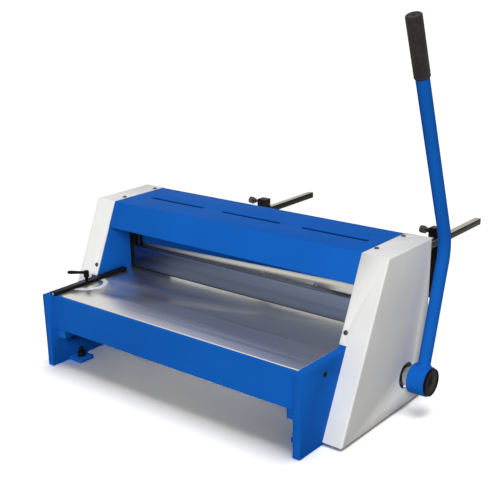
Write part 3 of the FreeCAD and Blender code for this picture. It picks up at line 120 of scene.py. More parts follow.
class ShearColours(PropertyGroup):
    frame_paint: FloatVectorProperty(name="Frame paint", subtype="COLOR", size=3, default=linear("#1661BE"),
                                     description="Blue of the plates, apron, hood and lever")
    cover_paint: FloatVectorProperty(name="Cover paint", subtype="COLOR", size=3, default=linear("#EDEDEC"),
                                     description="Light grey-white of the side covers")
    table_steel: FloatVectorProperty(name="Table steel", subtype="COLOR", size=3, default=linear("#DAD8D4"),
                                     description="Ground steel of the table")
    bar_steel: FloatVectorProperty(name="Bar steel", subtype="COLOR", size=3, default=linear("#6B768C"),
                                   description="Machined steel of the hold-down bar and the drive")
    blade_steel: FloatVectorProperty(name="Blade steel", subtype="COLOR", size=3, default=linear("#D0CEC9"),
                                     description="Hardened tool steel of the blades")
    oxide: FloatVectorProperty(name="Black oxide", subtype="COLOR", size=3, default=linear("#161515"),
                               description="Blackened steel of the gauge and the side stop")
    bright: FloatVectorProperty(name="Bright steel", subtype="COLOR", size=3, default=linear("#CFCFCE"),
                                description="Turned and zinc-plated steel")
    # Painted sheen: the gauge bars' tops take this paler colour for the light that they catch from above,
    # which their dark sides don't.
    bar_top_sheen: FloatVectorProperty(name="Worn bar top", subtype="COLOR", size=3, default=linear("#A39C92"),
                              description="Tops of the gauge bars, rubbed bright by the clamps")
    spring: FloatVectorProperty(name="Spring steel", subtype="COLOR", size=3, default=linear("#6F7074"),
                                description="Oiled spring wire")
    bronze: FloatVectorProperty(name="Bronze", subtype="COLOR", size=3, default=linear("#B98B52"),
                                description="Bearing bronze")
    knob: FloatVectorProperty(name="Knob plastic", subtype="COLOR", size=3, default=linear("#110F10"),
                              description="Black plastic of the knobs")
    grip: FloatVectorProperty(name="Grip rubber", subtype="COLOR", size=3, default=linear("#2B2827"),
                              description="Black rubber of the grip")
    enamel: FloatVectorProperty(name="Scale enamel", subtype="COLOR", size=3, default=linear("#DCE2E8"),
                                description="White ground of the angle scale")
    floor: FloatVectorProperty(name="Floor", subtype="COLOR", size=3, default=linear("#F4F2EC"),
                               description="Pale studio floor")


# Finishes

def add(tree, kind, inputs=(), ramp=(), **settings):
    """Add one node: settings are its own options, inputs its values or links, ramp its colour stops."""
    made = tree.nodes.new(kind)
    for name, setting in settings.items():
        setattr(made, name, setting)
    for name, given in dict(inputs).items():
        socket = made.inputs[name]
        if isinstance(given, bpy.types.NodeSocket):
            tree.links.new(given, socket)
        else:
            socket.default_value = given
    for stop, (place, colour) in zip(made.color_ramp.elements if ramp else (), ramp):
        stop.position, stop.color = place, (*colour, 1)
    return made


# Cell widths of the patterns in the finishes, in millimetres
LINE_LENGTH = 150
FILM_LENGTH, FILM_WIDTH = 900, 9
PAINT_DRIFT = 170
OXIDE_PATCH, OXIDE_GRIT = 14, 0.9
TOOL_MARK, TARNISH = 1.2, 9
# A moulded part's bloom is this much wider than its grain.
BLOOM = 6


def cells(millimetres):
    """Pattern scale at which one cell of the pattern has this width."""
    return 1 / (millimetres * MM)


def toned(colour, share):
    """The same colour, this much lighter or darker."""
    return [part * share for part in colour]


def new_tree(name):
    """Start a finish: its material, its empty tree and the object's own coordinates."""
    made = bpy.data.materials.new(name)
    made.use_nodes = True
    made.node_tree.nodes.clear()
    return made, made.node_tree, add(made.node_tree, "ShaderNodeTexCoord").outputs["Object"]


def noise(tree, place, detail, scale=1.0, roughness=0.5):
    """Value of a noise pattern; scale is its cells to a metre of the place that it is given."""
    return add(tree, "ShaderNodeTexNoise", {"Vector": place, "Scale": scale, "Detail": detail,
                                            "Roughness": roughness}).outputs["Fac"]


def stretched(tree, place, length, width):
    """The place, stretched so that a pattern's cells are this long along X and this wide, in millimetres."""
    scale = (cells(length), cells(width), cells(width))
    return add(tree, "ShaderNodeMapping", {"Vector": place, "Scale": scale}).outputs["Vector"]


def ranged(tree, value, low, high, start=0.0, end=1.0):
    """A value that goes from low to high as the given one goes from start to end."""
    return add(tree, "ShaderNodeMapRange", {"Value": value, "From Min": start, "From Max": end,
                                            "To Min": low, "To Max": high}).outputs["Result"]


def tinted(tree, value, *stops):
    """The colour for a value between two stops, each a value and a colour."""
    return add(tree, "ShaderNodeValToRGB", {"Fac": value}, ramp=stops).outputs["Color"]


def relief(tree, height, strength, depth):
    """The normal of a surface that a pattern raises by this depth in millimetres."""
    return add(tree, "ShaderNodeBump", {"Height": height, "Strength": strength,
                                        "Distance": depth * MM}).outputs["Normal"]


def sums(tree, operation, *values):
    """One step of arithmetic."""
    return add(tree, "ShaderNodeMath", dict(enumerate(values)), operation=operation).outputs["Value"]


def close_tree(tree, shader_inputs):
    """End a finish with its shader and its output."""
    shader = add(tree, "ShaderNodeBsdfPrincipled", shader_inputs)
    add(tree, "ShaderNodeOutputMaterial", {"Surface": shader.outputs["BSDF"]})


def powder_coat(name, colour, gloss, shine):
    """Sprayed and baked polyester powder: a soft gloss broken by the low waves of its orange peel."""
    scene = bpy.context.scene
    paint = getattr(scene.shear_colours, colour)
    made, tree, place = new_tree(name)
    waves = noise(tree, place, 2.0, cells(scene.shear_sizes.peel))
    drift = noise(tree, place, 3.0, cells(PAINT_DRIFT))
    shades = tinted(tree, drift, (0.3, toned(paint, 0.93)), (0.7, toned(paint, 1.05)))
    close_tree(tree, {"Base Color": shades, "Roughness": ranged(tree, waves, gloss - 0.04, gloss + 0.05),
                      "Normal": relief(tree, waves, 0.12, 0.12), "IOR": 1.45, "Specular IOR Level": shine})
    return made


def ground_steel(name, colour, gloss, depth, wear):
    """Surface-ground or machined steel: long fine lines along the bar that drag its reflections out."""
    scene = bpy.context.scene
    steel = getattr(scene.shear_colours, colour)
    made, tree, place = new_tree(name)
    lines = noise(tree, stretched(tree, place, LINE_LENGTH, scene.shear_sizes.grind), 4.0, roughness=0.62)
    film = noise(tree, stretched(tree, place, FILM_LENGTH, FILM_WIDTH), 3.0)
    mean = sums(tree, "MULTIPLY", sums(tree, "ADD", lines, film), 0.5)
    shades = tinted(tree, mean, (0.34, toned(steel, 1 - wear)), (0.64, steel))
    close_tree(tree, {"Base Color": shades, "Metallic": 1.0, "Normal": relief(tree, lines, 0.5, depth),
                      "Roughness": ranged(tree, film, gloss - 0.03, gloss + 0.03, 0.3, 0.7)})
    return made


def black_oxide(name, colour, shine):
    """Drawn steel blackened in a hot bath: a dark satin with brownish, slightly rubbed patches."""
    black = getattr(bpy.context.scene.shear_colours, colour)
    made, tree, place = new_tree(name)
    patches = noise(tree, place, 5.0, cells(OXIDE_PATCH))
    grit = noise(tree, place, 2.0, cells(OXIDE_GRIT))
    shades = tinted(tree, patches, (0.35, toned(black, 0.7)), (0.75, toned(black, 1.35)))
    close_tree(tree, {"Base Color": shades, "Metallic": 0.0, "Roughness": ranged(tree, patches, 0.26, 0.46),
                      "Normal": relief(tree, grit, 0.15, 0.05), "IOR": 1.6, "Specular IOR Level": shine})
    return made


def turned_metal(name, colour, gloss):
    """Turned bar or plated fastener: clean metal with faint tool marks."""
    metal = getattr(bpy.context.scene.shear_colours, colour)
    made, tree, place = new_tree(name)
    marks = noise(tree, place, 3.0, cells(TOOL_MARK))
    tarnish = noise(tree, place, 3.0, cells(TARNISH))
    shades = tinted(tree, tarnish, (0.3, toned(metal, 0.9)), (0.65, metal))
    close_tree(tree, {"Base Color": shades, "Metallic": 1.0,
                      "Roughness": ranged(tree, marks, gloss - 0.03, gloss + 0.04),
                      "Normal": relief(tree, marks, 0.1, 0.04)})
    return made


def moulded(name, colour, gloss, grain, depth, shine):
    """Moulded plastic or rubber: one dark colour, lit up by the fine grain of its mould."""
    dark = getattr(bpy.context.scene.shear_colours, colour)
    made, tree, place = new_tree(name)
    skin = noise(tree, place, 3.0, cells(grain))
    bloom = noise(tree, place, 3.0, cells(grain * BLOOM))
    shades = tinted(tree, bloom, (0.35, toned(dark, 0.75)), (0.7, toned(dark, 1.3)))
    close_tree(tree, {"Base Color": shades, "Roughness": ranged(tree, bloom, gloss - 0.08, gloss + 0.08),
                      "Normal": relief(tree, skin, 0.3, depth), "IOR": 1.52, "Specular IOR Level": shine})
    return made


# Each finish with its maker and settings. Gloss is the shader's roughness, shine its specular level, wear how
# much darker the steel's rubbed patches are; grain and depth are the pattern's width and relief in
# millimetres.
FINISHES = {
    "blue_powder_coat": (powder_coat, dict(colour="frame_paint", gloss=0.45, shine=0.006)),
    "white_powder_coat": (powder_coat, dict(colour="cover_paint", gloss=0.58, shine=0.12)),
    "white_scale_enamel": (powder_coat, dict(colour="enamel", gloss=0.3, shine=0.5)),
    "ground_table_steel": (ground_steel, dict(colour="table_steel", gloss=0.32, depth=0.06, wear=0.08)),
    "machined_grey_steel": (ground_steel, dict(colour="bar_steel", gloss=0.34, depth=0.08, wear=0.25)),
    "ground_blade_steel": (ground_steel, dict(colour="blade_steel", gloss=0.42, depth=0.03, wear=0.06)),
    # Painted sheen: the gauge bars' tops are drawn paler than their black oxide sides, for the light that
    # falls on them from above.
    "bar_top_rubbed_bright": (ground_steel, dict(colour="bar_top_sheen", gloss=0.3, depth=0.03, wear=0.2)),
    "hot_black_oxide": (black_oxide, dict(colour="oxide", shine=0.05)),
    "glossy_black_screw": (black_oxide, dict(colour="oxide", shine=0.5)),
    "bright_turned_steel": (turned_metal, dict(colour="bright", gloss=0.24)),
    "oiled_spring_wire": (turned_metal, dict(colour="spring", gloss=0.3)),
    "bearing_bronze": (turned_metal, dict(colour="bronze", gloss=0.34)),
    "moulded_black_nylon": (moulded, dict(colour="knob", gloss=0.4, grain=0.8, depth=0.05, shine=0.03)),
    "polished_black_knob": (moulded, dict(colour="knob", gloss=0.2, grain=0.8, depth=0.02, shine=0.5)),
    "moulded_black_rubber": (moulded, dict(colour="grip", gloss=0.66, grain=1.6, depth=0.15, shine=0.15)),
}
# The finish that each of the part's material slots takes.
FINISH_OF = {
    "blue_paint": "blue_powder_coat",
    "white_paint": "white_powder_coat",
    "ground_steel": "ground_table_steel",
    "grey_steel": "machined_grey_steel",
    "blade_steel": "ground_blade_steel",
    "black_oxide": "hot_black_oxide",
    "bright_steel": "bright_turned_steel",
    "spring_steel": "oiled_spring_wire",
    "bronze": "bearing_bronze",
    "black_plastic": "moulded_black_nylon",
    "black_rubber": "moulded_black_rubber",
    "scale_enamel": "white_scale_enamel",
}


def finish(name):
    """The named finish, made the first time that a piece asks for it."""
    maker, settings = FINISHES[name]
    return bpy.data.materials.get(name) or maker(name, **settings)


# Shapes

def ring(bm, radius, height, count=32, lobes=0, depth=0.0):
    """Lay one ring of edges about Z at a height; lobes of this depth wave its radius."""
    made = bmesh.ops.create_circle(bm, cap_ends=False, radius=radius, segments=count,
                                   matrix=Matrix.Translation((0, 0, height)))["verts"]
    for vert in made:
        wave = 1 - depth * (1 - math.cos(lobes * math.atan2(vert.co.y, vert.co.x))) / 2
        vert.co.x, vert.co.y = vert.co.x * wave, vert.co.y * wave
    return list({edge for vert in made for edge in vert.link_edges})


def loft(rings):
    """Bridge rings from first to last and close both ends: (radius, height) with ring's other settings."""
    bm = bmesh.new()
    made = [ring(bm, *given[:2], **(given[2] if len(given) > 2 else {})) for given in rings]
    for low, high in zip(made, made[1:]):
        bmesh.ops.bridge_loops(bm, edges=low + high)
    for end in (made[0], made[-1]):
        bmesh.ops.contextual_create(bm, geom=end)
    bmesh.ops.recalc_face_normals(bm, faces=bm.faces)
    return bm


def turned(profile, count):
    """Turn a profile about Z: pairs of radius and height in millimetres."""
    return loft([(radius * MM, height * MM, {"count": count}) for radius, height in profile])


def chamfered(radius, tall, edge, count=32):
    """A bar, or a prism of few sides, with a chamfer at both ends."""
    around = {"count": count}
    return loft([(radius - edge, 0, around), (radius, edge, around), (radius, tall - edge, around),
                 (radius - edge, tall, around)])


def placed(bm, at, axis=Z_AXIS):
    """Stand the shape's Z along an axis at a point."""
    stand = Z_AXIS.rotation_difference(Vector(axis)).to_matrix().to_4x4()
    bmesh.ops.transform(bm, matrix=Matrix.Translation(at) @ stand, verts=bm.verts)
    return bm


def centre(low, high):
    """Middle of a box from its corners."""
    return Vector([(one + other) / 2 for one, other in zip(low, high)])


def gathered(shapes):
    """Put several shapes into one."""
    whole = bmesh.new()
    for shape in shapes:
        carrier = bpy.data.meshes.new("carrier")
        shape.to_mesh(carrier)
        shape.free()
        whole.from_mesh(carrier)
        bpy.data.meshes.remove(carrier)
    return whole


# A CAD node's corners within this many millimetres are joined, its faces within this many degrees made one.
JOIN_WITHIN, FLAT_WITHIN = 0.001, 0.3


def merged(node):
    """A copy of a CAD node's shape with its loose triangles joined and its flat faces made whole."""
    bm = bmesh.new()
    bm.from_mesh(frame["nodes"][node].data)
    bmesh.ops.remove_doubles(bm, verts=bm.verts, dist=JOIN_WITHIN * MM)
    bmesh.ops.dissolve_limit(bm, angle_limit=math.radians(FLAT_WITHIN), verts=bm.verts, edges=bm.edges)
    return bm


def piece(name, shape, node, rounding=0.0, use=None, smooth=40):
    """Show the shape in place of a CAD node: it rides the node's body and takes its slot's finish.

    Edges that turn by more degrees than smooth stay sharp or are rounded.
    """
    mesh = bpy.data.meshes.new(name)
    shape.to_mesh(mesh)
    shape.free()
    mesh.shade_smooth()
    if not rounding:
        mesh.set_sharp_from_angle(angle=math.radians(smooth))
    made = bpy.data.objects.new(name, mesh)
    bpy.context.scene.collection.objects.link(made)
    mesh.materials.append(finish(use or FINISH_OF[SLOT_OF[node]]))
    if rounding:
        edge = made.modifiers.new("Edge rounding", "BEVEL")
        edge.width, edge.segments, edge.limit_method = rounding, 2, "ANGLE"
        edge.angle_limit, edge.harden_normals = math.radians(smooth), True
    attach(made, frame["nodes"][node]["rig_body"])
    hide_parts(node)
    return made


def dressed(node, rounding, use=None):
    """Show a CAD node's own shape with rounded edges."""
    return piece(node + "_made", merged(node), node, rounding, use)


def coated(*nodes):
    """Give CAD nodes that show as they are the finish of their slot."""
    for node in nodes:
        for held in frame["nodes"][node].material_slots:
            held.material = finish(FINISH_OF[SLOT_OF[node]])


# Pieces

# The blades' edges are rounded by this share of the machined steel's; the shaft's chamfer is in millimetres.
KEEN_EDGE = 0.25
SHAFT_CHAMFER = 1.5


class SHEAR_OT_plates(Operator):
    """Round the painted side plates, apron, brackets and foot tabs"""
    bl_idname = "shear.plates"
    bl_label = "Painted plates"

    def execute(self, context):
        rounding = context.scene.shear_sizes.plate_round
        for node in ("side_plate_left", "side_plate_right", "front_apron", "apron_brackets",
                     "front_foot_tabs", "rear_foot_tabs", "rear_cross_bar"):
            dressed(node, rounding)
        return {"FINISHED"}


class SHEAR_OT_sheet_metal(Operator):
    """Round the folded hood and the side covers"""
    bl_idname = "shear.sheet_metal"
    bl_label = "Hood and covers"

    def execute(self, context):
        for node in ("top_hood", "side_cover_left", "side_cover_right"):
            dressed(node, context.scene.shear_sizes.sheet_round)
        dressed("hood_rails", context.scene.shear_sizes.machined_round)
        return {"FINISHED"}


class SHEAR_OT_table(Operator):
    """Finish the ground table, the guide strips and the hold-down bar"""
    bl_idname = "shear.table"
    bl_label = "Table and hold-down"

    def execute(self, context):
        for node in ("table_plate", "guide_strips", "hold_down_bar"):
            dressed(node, context.scene.shear_sizes.machined_round)
        coated("hold_down_pins")
        return {"FINISHED"}


class SHEAR_OT_blades(Operator):
    """Finish the blades and the beams that carry them"""
    bl_idname = "shear.blades"
    bl_label = "Blades and beams"

    def execute(self, context):
        rounding = context.scene.shear_sizes.machined_round
        dressed("upper_blade", rounding * KEEN_EDGE)
        # Painted shade: the lower blade takes black oxide in place of its blade steel, to darken the thin
        # line seen between the table and the hold-down bar.
        dressed("lower_blade", rounding * KEEN_EDGE, "hot_black_oxide")
        for node in ("upper_beam", "blade_carrier", "end_block_left", "end_block_right"):
            dressed(node, rounding)
        coated("upper_blade_screws", "lower_blade_screws", "end_block_bolts")
        return {"FINISHED"}


class SHEAR_OT_drive(Operator):
    """Finish the shaft, its eccentrics, rods and bearings"""
    bl_idname = "shear.drive"
    bl_label = "Drive"

    def execute(self, context):
        low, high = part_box("main_shaft")
        shaft = chamfered((high.z - low.z) / 2, high.x - low.x, SHAFT_CHAMFER * MM, count=64)
        middle = centre(low, high)
        piece("main_shaft_turned", placed(shaft, (low.x, middle.y, middle.z), X_AXIS), "main_shaft")
        coated("eccentric_left", "eccentric_right", "connecting_rod_left", "connecting_rod_right",
               "shaft_bushes", "shaft_keys", "wrist_pins", "wrist_clips", "window_gibs")
        return {"FINISHED"}


# The lever's line seen from the side, in millimetres and degrees: it leans back, bends, then leans forward.
# Tube is its radius, bend the radius of its bend, and grip how far the grip's foot lies below the tip.
LEVER = {"lower_reach": 269.6, "lower_lean": 14.6, "upper_reach": 459, "upper_lean": 21.1, "bend": 110,
         "tube": 12.5, "grip": 109}
# The tube starts inside the hub, at this share of the hub's radius.
TUBE_START = 0.8
# The weld's lumps: how many go round, their shift, and their share of the bead.
WELD_LUMPS = ((15, 0, 0.10), (37, 1, 0.06))
# Millimetres from here on: the hub's chamfer, then rings of the grip by radius and height from its foot
HUB_CHAMFER = 1.2
GRIP_PROFILE = ((12.7, 0), (13.8, 0.2), (14.6, 1.2), (14.6, 4.2), (14.2, 4.9), (14.2, 5.9), (14.6, 6.6),
                (14.6, 101.6), (14.2, 102.3), (14.2, 103.2), (14.6, 103.9), (14.6, 109.4), (14.1, 110.9),
                (12.9, 111.8), (11.6, 112), (10.9, 111.4), (3.6, 111.2), (3.0, 110.6), (3.0, 109.6))
# Rings of the hub's cap, with its rim and the dimple in its middle
CAP_PROFILE = ((28.3, 0), (28.5, 0.3), (28.5, 3.4), (27.9, 4.5), (26.9, 5), (25.6, 5), (24.9, 4.2),
               (24.4, 3.6), (6.4, 3.6), (5.6, 4.1), (3.4, 4.1), (2.4, 3.2))


def lean(degrees):
    """Direction in the lever's plane this far back from upright."""
    return Vector((0, math.sin(math.radians(degrees)), math.cos(math.radians(degrees))))


def lever_frame():
    """The shaft's centre in the lever's plane, the bend point and the tube's end."""
    foot = centre(*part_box("main_shaft"))
    foot.x = centre(*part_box("lever_hub")).x
    bend = foot + LEVER["lower_reach"] * MM * lean(LEVER["lower_lean"])
    return foot, bend, bend + LEVER["upper_reach"] * MM * lean(-LEVER["upper_lean"])


class SHEAR_OT_lever(Operator):
    """Bend the lever's tube, weld it to its hub and put on the grip and the cap"""
    bl_idname = "shear.lever"
    bl_label = "Hand lever"

    def tube(self, foot, bend, radius, hub_radius):
        """Draw a ring of the tube's size up the lever's line: straight, round the bend, straight again."""
        turn = math.radians(LEVER["lower_lean"] + LEVER["upper_lean"])
        down, up = lean(LEVER["lower_lean"]), lean(-LEVER["upper_lean"])
        reach = LEVER["bend"] * MM * math.tan(turn / 2)
        inside = X_AXIS.cross(down)
        start = foot + down * hub_radius * TUBE_START
        bm = bmesh.new()
        edges = ring(bm, radius, 0, count=48)
        placed(bm, start, down)
        bmesh.ops.contextual_create(bm, geom=edges)
        edges = self.run(bm, edges, bend - down * reach - start)
        spun = bmesh.ops.spin(bm, geom=edges + list({v for e in edges for v in e.verts}), axis=X_AXIS,
                              cent=bend - down * reach + inside * LEVER["bend"] * MM, angle=turn, steps=18)
        edges = [part for part in spun["geom_last"] if isinstance(part, bmesh.types.BMEdge)]
        edges = self.run(bm, edges, up * (LEVER["upper_reach"] * MM - reach))
        bmesh.ops.contextual_create(bm, geom=edges)
        bmesh.ops.recalc_face_normals(bm, faces=bm.faces)
        return bm

    def run(self, bm, edges, step):
        """Draw the ring on by one straight step; gives the new ring's edges."""
        made = bmesh.ops.extrude_edge_only(bm, edges=edges)["geom"]
        verts = [part for part in made if isinstance(part, bmesh.types.BMVert)]
        bmesh.ops.translate(bm, vec=step, verts=verts)
        return [part for part in made if isinstance(part, bmesh.types.BMEdge)]

    def weld(self, foot, radius, hub_radius, bead):
        """Lay a lumpy bead round the tube's foot, on the round of the hub."""
        bm = bmesh.new()
        upright = Matrix.Translation((radius, 0, 0)) @ Matrix.Rotation(math.pi / 2, 4, "X")
        made = bmesh.ops.create_circle(bm, cap_ends=False, radius=bead, segments=12, matrix=upright)
        bmesh.ops.spin(bm, geom=made["verts"] + bm.edges[:], axis=Z_AXIS, cent=(0, 0, 0), angle=2 * math.pi,
                       steps=96, use_merge=True)
        for vert in bm.verts:
            turn = math.atan2(vert.co.y, vert.co.x)
            lump = 1 + sum(share * math.sin(turn * count + shift) for count, shift, share in WELD_LUMPS)
            offset = Vector((vert.co.x, vert.co.y, 0)).normalized() * radius
            vert.co = offset + (vert.co - offset) * lump
            vert.co.z += math.sqrt(hub_radius ** 2 - vert.co.y ** 2)
        bmesh.ops.recalc_face_normals(bm, faces=bm.faces)
        stand = Matrix.Rotation(-math.radians(LEVER["lower_lean"]), 4, "X")
        bmesh.ops.transform(bm, matrix=Matrix.Translation(foot) @ stand, verts=bm.verts)
        return bm

    def execute(self, context):
        foot, bend, tip = lever_frame()
        low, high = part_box("lever_hub")
        radius = (high.z - low.z) / 2
        hub = chamfered(radius, high.x - low.x, HUB_CHAMFER * MM, count=96)
        piece("lever_hub_turned", placed(hub, (low.x, foot.y, foot.z), X_AXIS), "lever_hub")
        tube = self.tube(foot, bend, LEVER["tube"] * MM, radius)
        weld = self.weld(foot, LEVER["tube"] * MM, radius, context.scene.shear_sizes.weld_bead)
        piece("lever_tube_bent", gathered([tube, weld]), "lever_tube")

        up = lean(-LEVER["upper_lean"])
        grip = turned(GRIP_PROFILE, count=64)
        piece("lever_grip_moulded", placed(grip, tip - up * LEVER["grip"] * MM, up), "lever_grip")
        cap, left = turned(CAP_PROFILE, count=72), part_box("hub_cap")[0].x
        piece("hub_cap_moulded", placed(cap, (left, foot.y, foot.z), X_AXIS), "hub_cap")
        return {"FINISHED"}


# The studs' thread has this share of its pitch for depth.
THREAD_DEPTH = 0.55
# Chamfer and edge rounding of a nut and chamfer of a washer, in millimetres
NUT_CHAMFER, NUT_ROUND, WASHER_CHAMFER = 1, 0.3, 0.4


class SHEAR_OT_feet(Operator):
    """Cut the levelling studs and their nuts and washers"""
    bl_idname = "shear.feet"
    bl_label = "Levelling feet"

    def execute(self, context):
        low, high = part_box("levelling_studs")
        radius, tall = (high.y - low.y) / 2, high.z - low.z
        pitch = context.scene.shear_sizes.thread_pitch
        depth = THREAD_DEPTH * pitch
        places = [(side * (high.x - radius), (low.y + high.y) / 2) for side in SIDES]
        core = radius - depth
        rings = [(core, 0)]
        for half in range(2 * (int(tall / pitch) - 1)):
            rings.append((radius if half % 2 else core, (half + 1) * pitch / 2))
        rings += [(core, tall - pitch / 2), (core - depth, tall)]
        studs = [placed(loft(rings), (x, y, low.z)) for x, y in places]
        piece("levelling_studs_threaded", gathered(studs), "levelling_studs")

        low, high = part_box("levelling_nuts")
        corner, tall = (high.y - low.y) / 2 / math.cos(math.pi / 6), high.z - low.z
        nuts = [placed(chamfered(corner, tall, NUT_CHAMFER * MM, count=6), (x, y, low.z)) for x, y in places]
        piece("levelling_nuts_made", gathered(nuts), "levelling_nuts", NUT_ROUND * MM)

        low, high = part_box("levelling_washers")
        radius, tall = (high.y - low.y) / 2, high.z - low.z
        washers = [placed(chamfered(radius, tall, WASHER_CHAMFER * MM), (x, y, low.z)) for x, y in places]
        piece("levelling_washers_made", gathered(washers), "levelling_washers")
        return {"FINISHED"}


# Rings of a screw's head, as shares of its radius and its height
PAN_HEAD = ((0.96, 0), (1, 0.12), (1, 0.5), (0.9, 0.8), (0.72, 1))
PAN_SOCKET = ((0.5, 1), (0.47, 0.4))
# Rings of a countersunk screw's socket, as shares of its head's radius
SUNK_SOCKET = ((0.52, 0), (0.5, -0.4))
# Depth of a socket's lobes as a share of its radius, by their number
LOBE_DEPTHS = {4: 0.62, 6: 0.18}
# The covers' screws in millimetres, and the slope of a cover's front in degrees. Two screws sit on each
# cover's top, ahead of the hood's rear edge, and one on its front, whose upper end lies at the fold.
COVER_SCREW = {"head": 4.8, "shank": 2.5, "long": 11, "top_tall": 2.5, "front_tall": 2.4, "lobes": 4}
COVER_SCREW_PLACES = {"side": 338, "from_rear": (21, 121), "front_height": 196, "fold": -89}
COVER_SLOPE = 23.9
# Length of a leg's screw in millimetres
LEG_SCREW_LENGTH = 34


def screw(head, tall, shank, long, lobes=6, countersunk=False):
    """A screw pointing up: its head over Z = 0 (or sunk under it), its shank below, a lobed socket on top."""
    socket = {"count": 24, "lobes": lobes, "depth": LOBE_DEPTHS[lobes]}
    plain = {"count": 24}
    if countersunk:
        rings = [(shank, -long, plain), (shank, shank - head, plain), (head, 0, plain)]
        rings += [(head * wide, head * up, socket) for wide, up in SUNK_SOCKET]
    else:
        rings = [(shank, -long, plain), (shank, 0, plain)]
        rings += [(head * wide, tall * up, plain) for wide, up in PAN_HEAD]
        rings += [(head * wide, tall * up, socket) for wide, up in PAN_SOCKET]
    return loft(rings)


def cover_screw(tall):
    """A cover's pan-head screw with a cross in a head of this height in millimetres."""
    head, shank, long = (COVER_SCREW[size] * MM for size in ("head", "shank", "long"))
    return screw(head, tall * MM, shank, long, COVER_SCREW["lobes"])


class SHEAR_OT_screws(Operator):
    """Set the screws of the covers, the legs and the side stop"""
    bl_idname = "shear.screws"
    bl_label = "Screws"

    def execute(self, context):
        slope = math.radians(COVER_SLOPE)
        out = Vector((0, -math.cos(slope), math.sin(slope)))
        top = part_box("side_cover_right")[1].z
        hood_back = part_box("top_hood")[1].y
        rise = COVER_SCREW_PLACES["front_height"] * MM
        front = COVER_SCREW_PLACES["fold"] * MM - (top - rise) * math.tan(slope)
        shapes = []
        for side in SIDES:
            x = side * COVER_SCREW_PLACES["side"] * MM
            for step in COVER_SCREW_PLACES["from_rear"]:
                shapes.append(placed(cover_screw(COVER_SCREW["top_tall"]), (x, hood_back - step * MM, top)))
            shapes.append(placed(cover_screw(COVER_SCREW["front_tall"]), (x, front, rise), out))
        piece("cover_screws_set", gathered(shapes), "cover_screws", use="glossy_black_screw")

        low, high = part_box("leg_screws")
        head, middle = (high.z - low.z) / 2, centre(low, high)
        shapes = [placed(screw(head, 0, shank=head / 2, long=LEG_SCREW_LENGTH * MM, countersunk=True),
                         (side * high.x, middle.y, middle.z), X_AXIS * side) for side in SIDES]
        piece("leg_screws_set", gathered(shapes), "leg_screws")

        low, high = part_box("stop_end_screw")
        head, middle = (high.z - low.z) / 2, centre(low, high)
        shape = screw(head, 0, shank=head * 0.9, long=high.y - low.y, countersunk=True)
        piece("stop_end_screw_set", placed(shape, (middle.x, low.y, middle.z), -Y_AXIS), "stop_end_screw")
        return {"FINISHED"}


# A hold-down spring's wire radius in millimetres, and the steps of one turn
SPRING_WIRE, SPRING_STEPS = 1.2, 24


class SHEAR_OT_springs(Operator):
    """Wind the hold-down springs"""
    bl_idname = "shear.springs"
    bl_label = "Hold-down springs"

    def execute(self, context):
        low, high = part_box("hold_down_springs")
        turns = context.scene.shear_sizes.spring_turns
        wire, tall, steps = SPRING_WIRE * MM, high.z - low.z, turns * SPRING_STEPS
        radius, middle = (high.y - low.y) / 2 - wire, (low.y + high.y) / 2
        upright = Matrix.Translation((radius, 0, wire)) @ Matrix.Rotation(math.pi / 2, 4, "X")
        shapes = []
        for x in (low.x + radius + wire, high.x - radius - wire):
            bm = bmesh.new()
            made = bmesh.ops.create_circle(bm, cap_ends=True, radius=wire, segments=10, matrix=upright)
            bmesh.ops.spin(bm, geom=made["verts"] + bm.edges[:] + bm.faces[:], axis=Z_AXIS, cent=(0, 0, 0),
                           dvec=(0, 0, (tall - 2 * wire) / steps), angle=turns * 2 * math.pi, steps=steps)
            bmesh.ops.recalc_face_normals(bm, faces=bm.faces)
            shapes.append(placed(bm, (x, middle, low.z)))
        made = piece("hold_down_springs_wound", gathered(shapes), "hold_down_springs", smooth=60)
        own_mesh(made)
        return {"FINISHED"}


# Rings of a clamp knob: radius and height over its foot in millimetres, and the share that its lobes cut away
KNOB_RINGS = ((5.2, 0, 0), (5.6, 0.4, 0), (5.6, 4, 0), (7.2, 4.6, 0.16), (8.9, 5.6, 0.24), (9.5, 7.6, 0.24),
              (9.5, 17.4, 0.24), (8.8, 19.5, 0.24), (7.0, 20.7, 0.16), (4.0, 21, 0), (3.6, 20.4, 0))
# A knob's height and the radius of its bolt in millimetres
KNOB_TALL, KNOB_BOLT = 21, 3
# The clamps, arms and stop of the gauge are rounded this many times as much as the machined steel.
GAUGE_ROUND = 1.5
# A face of a gauge bar whose normal rises more than this is its top, which takes a paler finish as a painted
# sheen.
BAR_TOP = 0.9


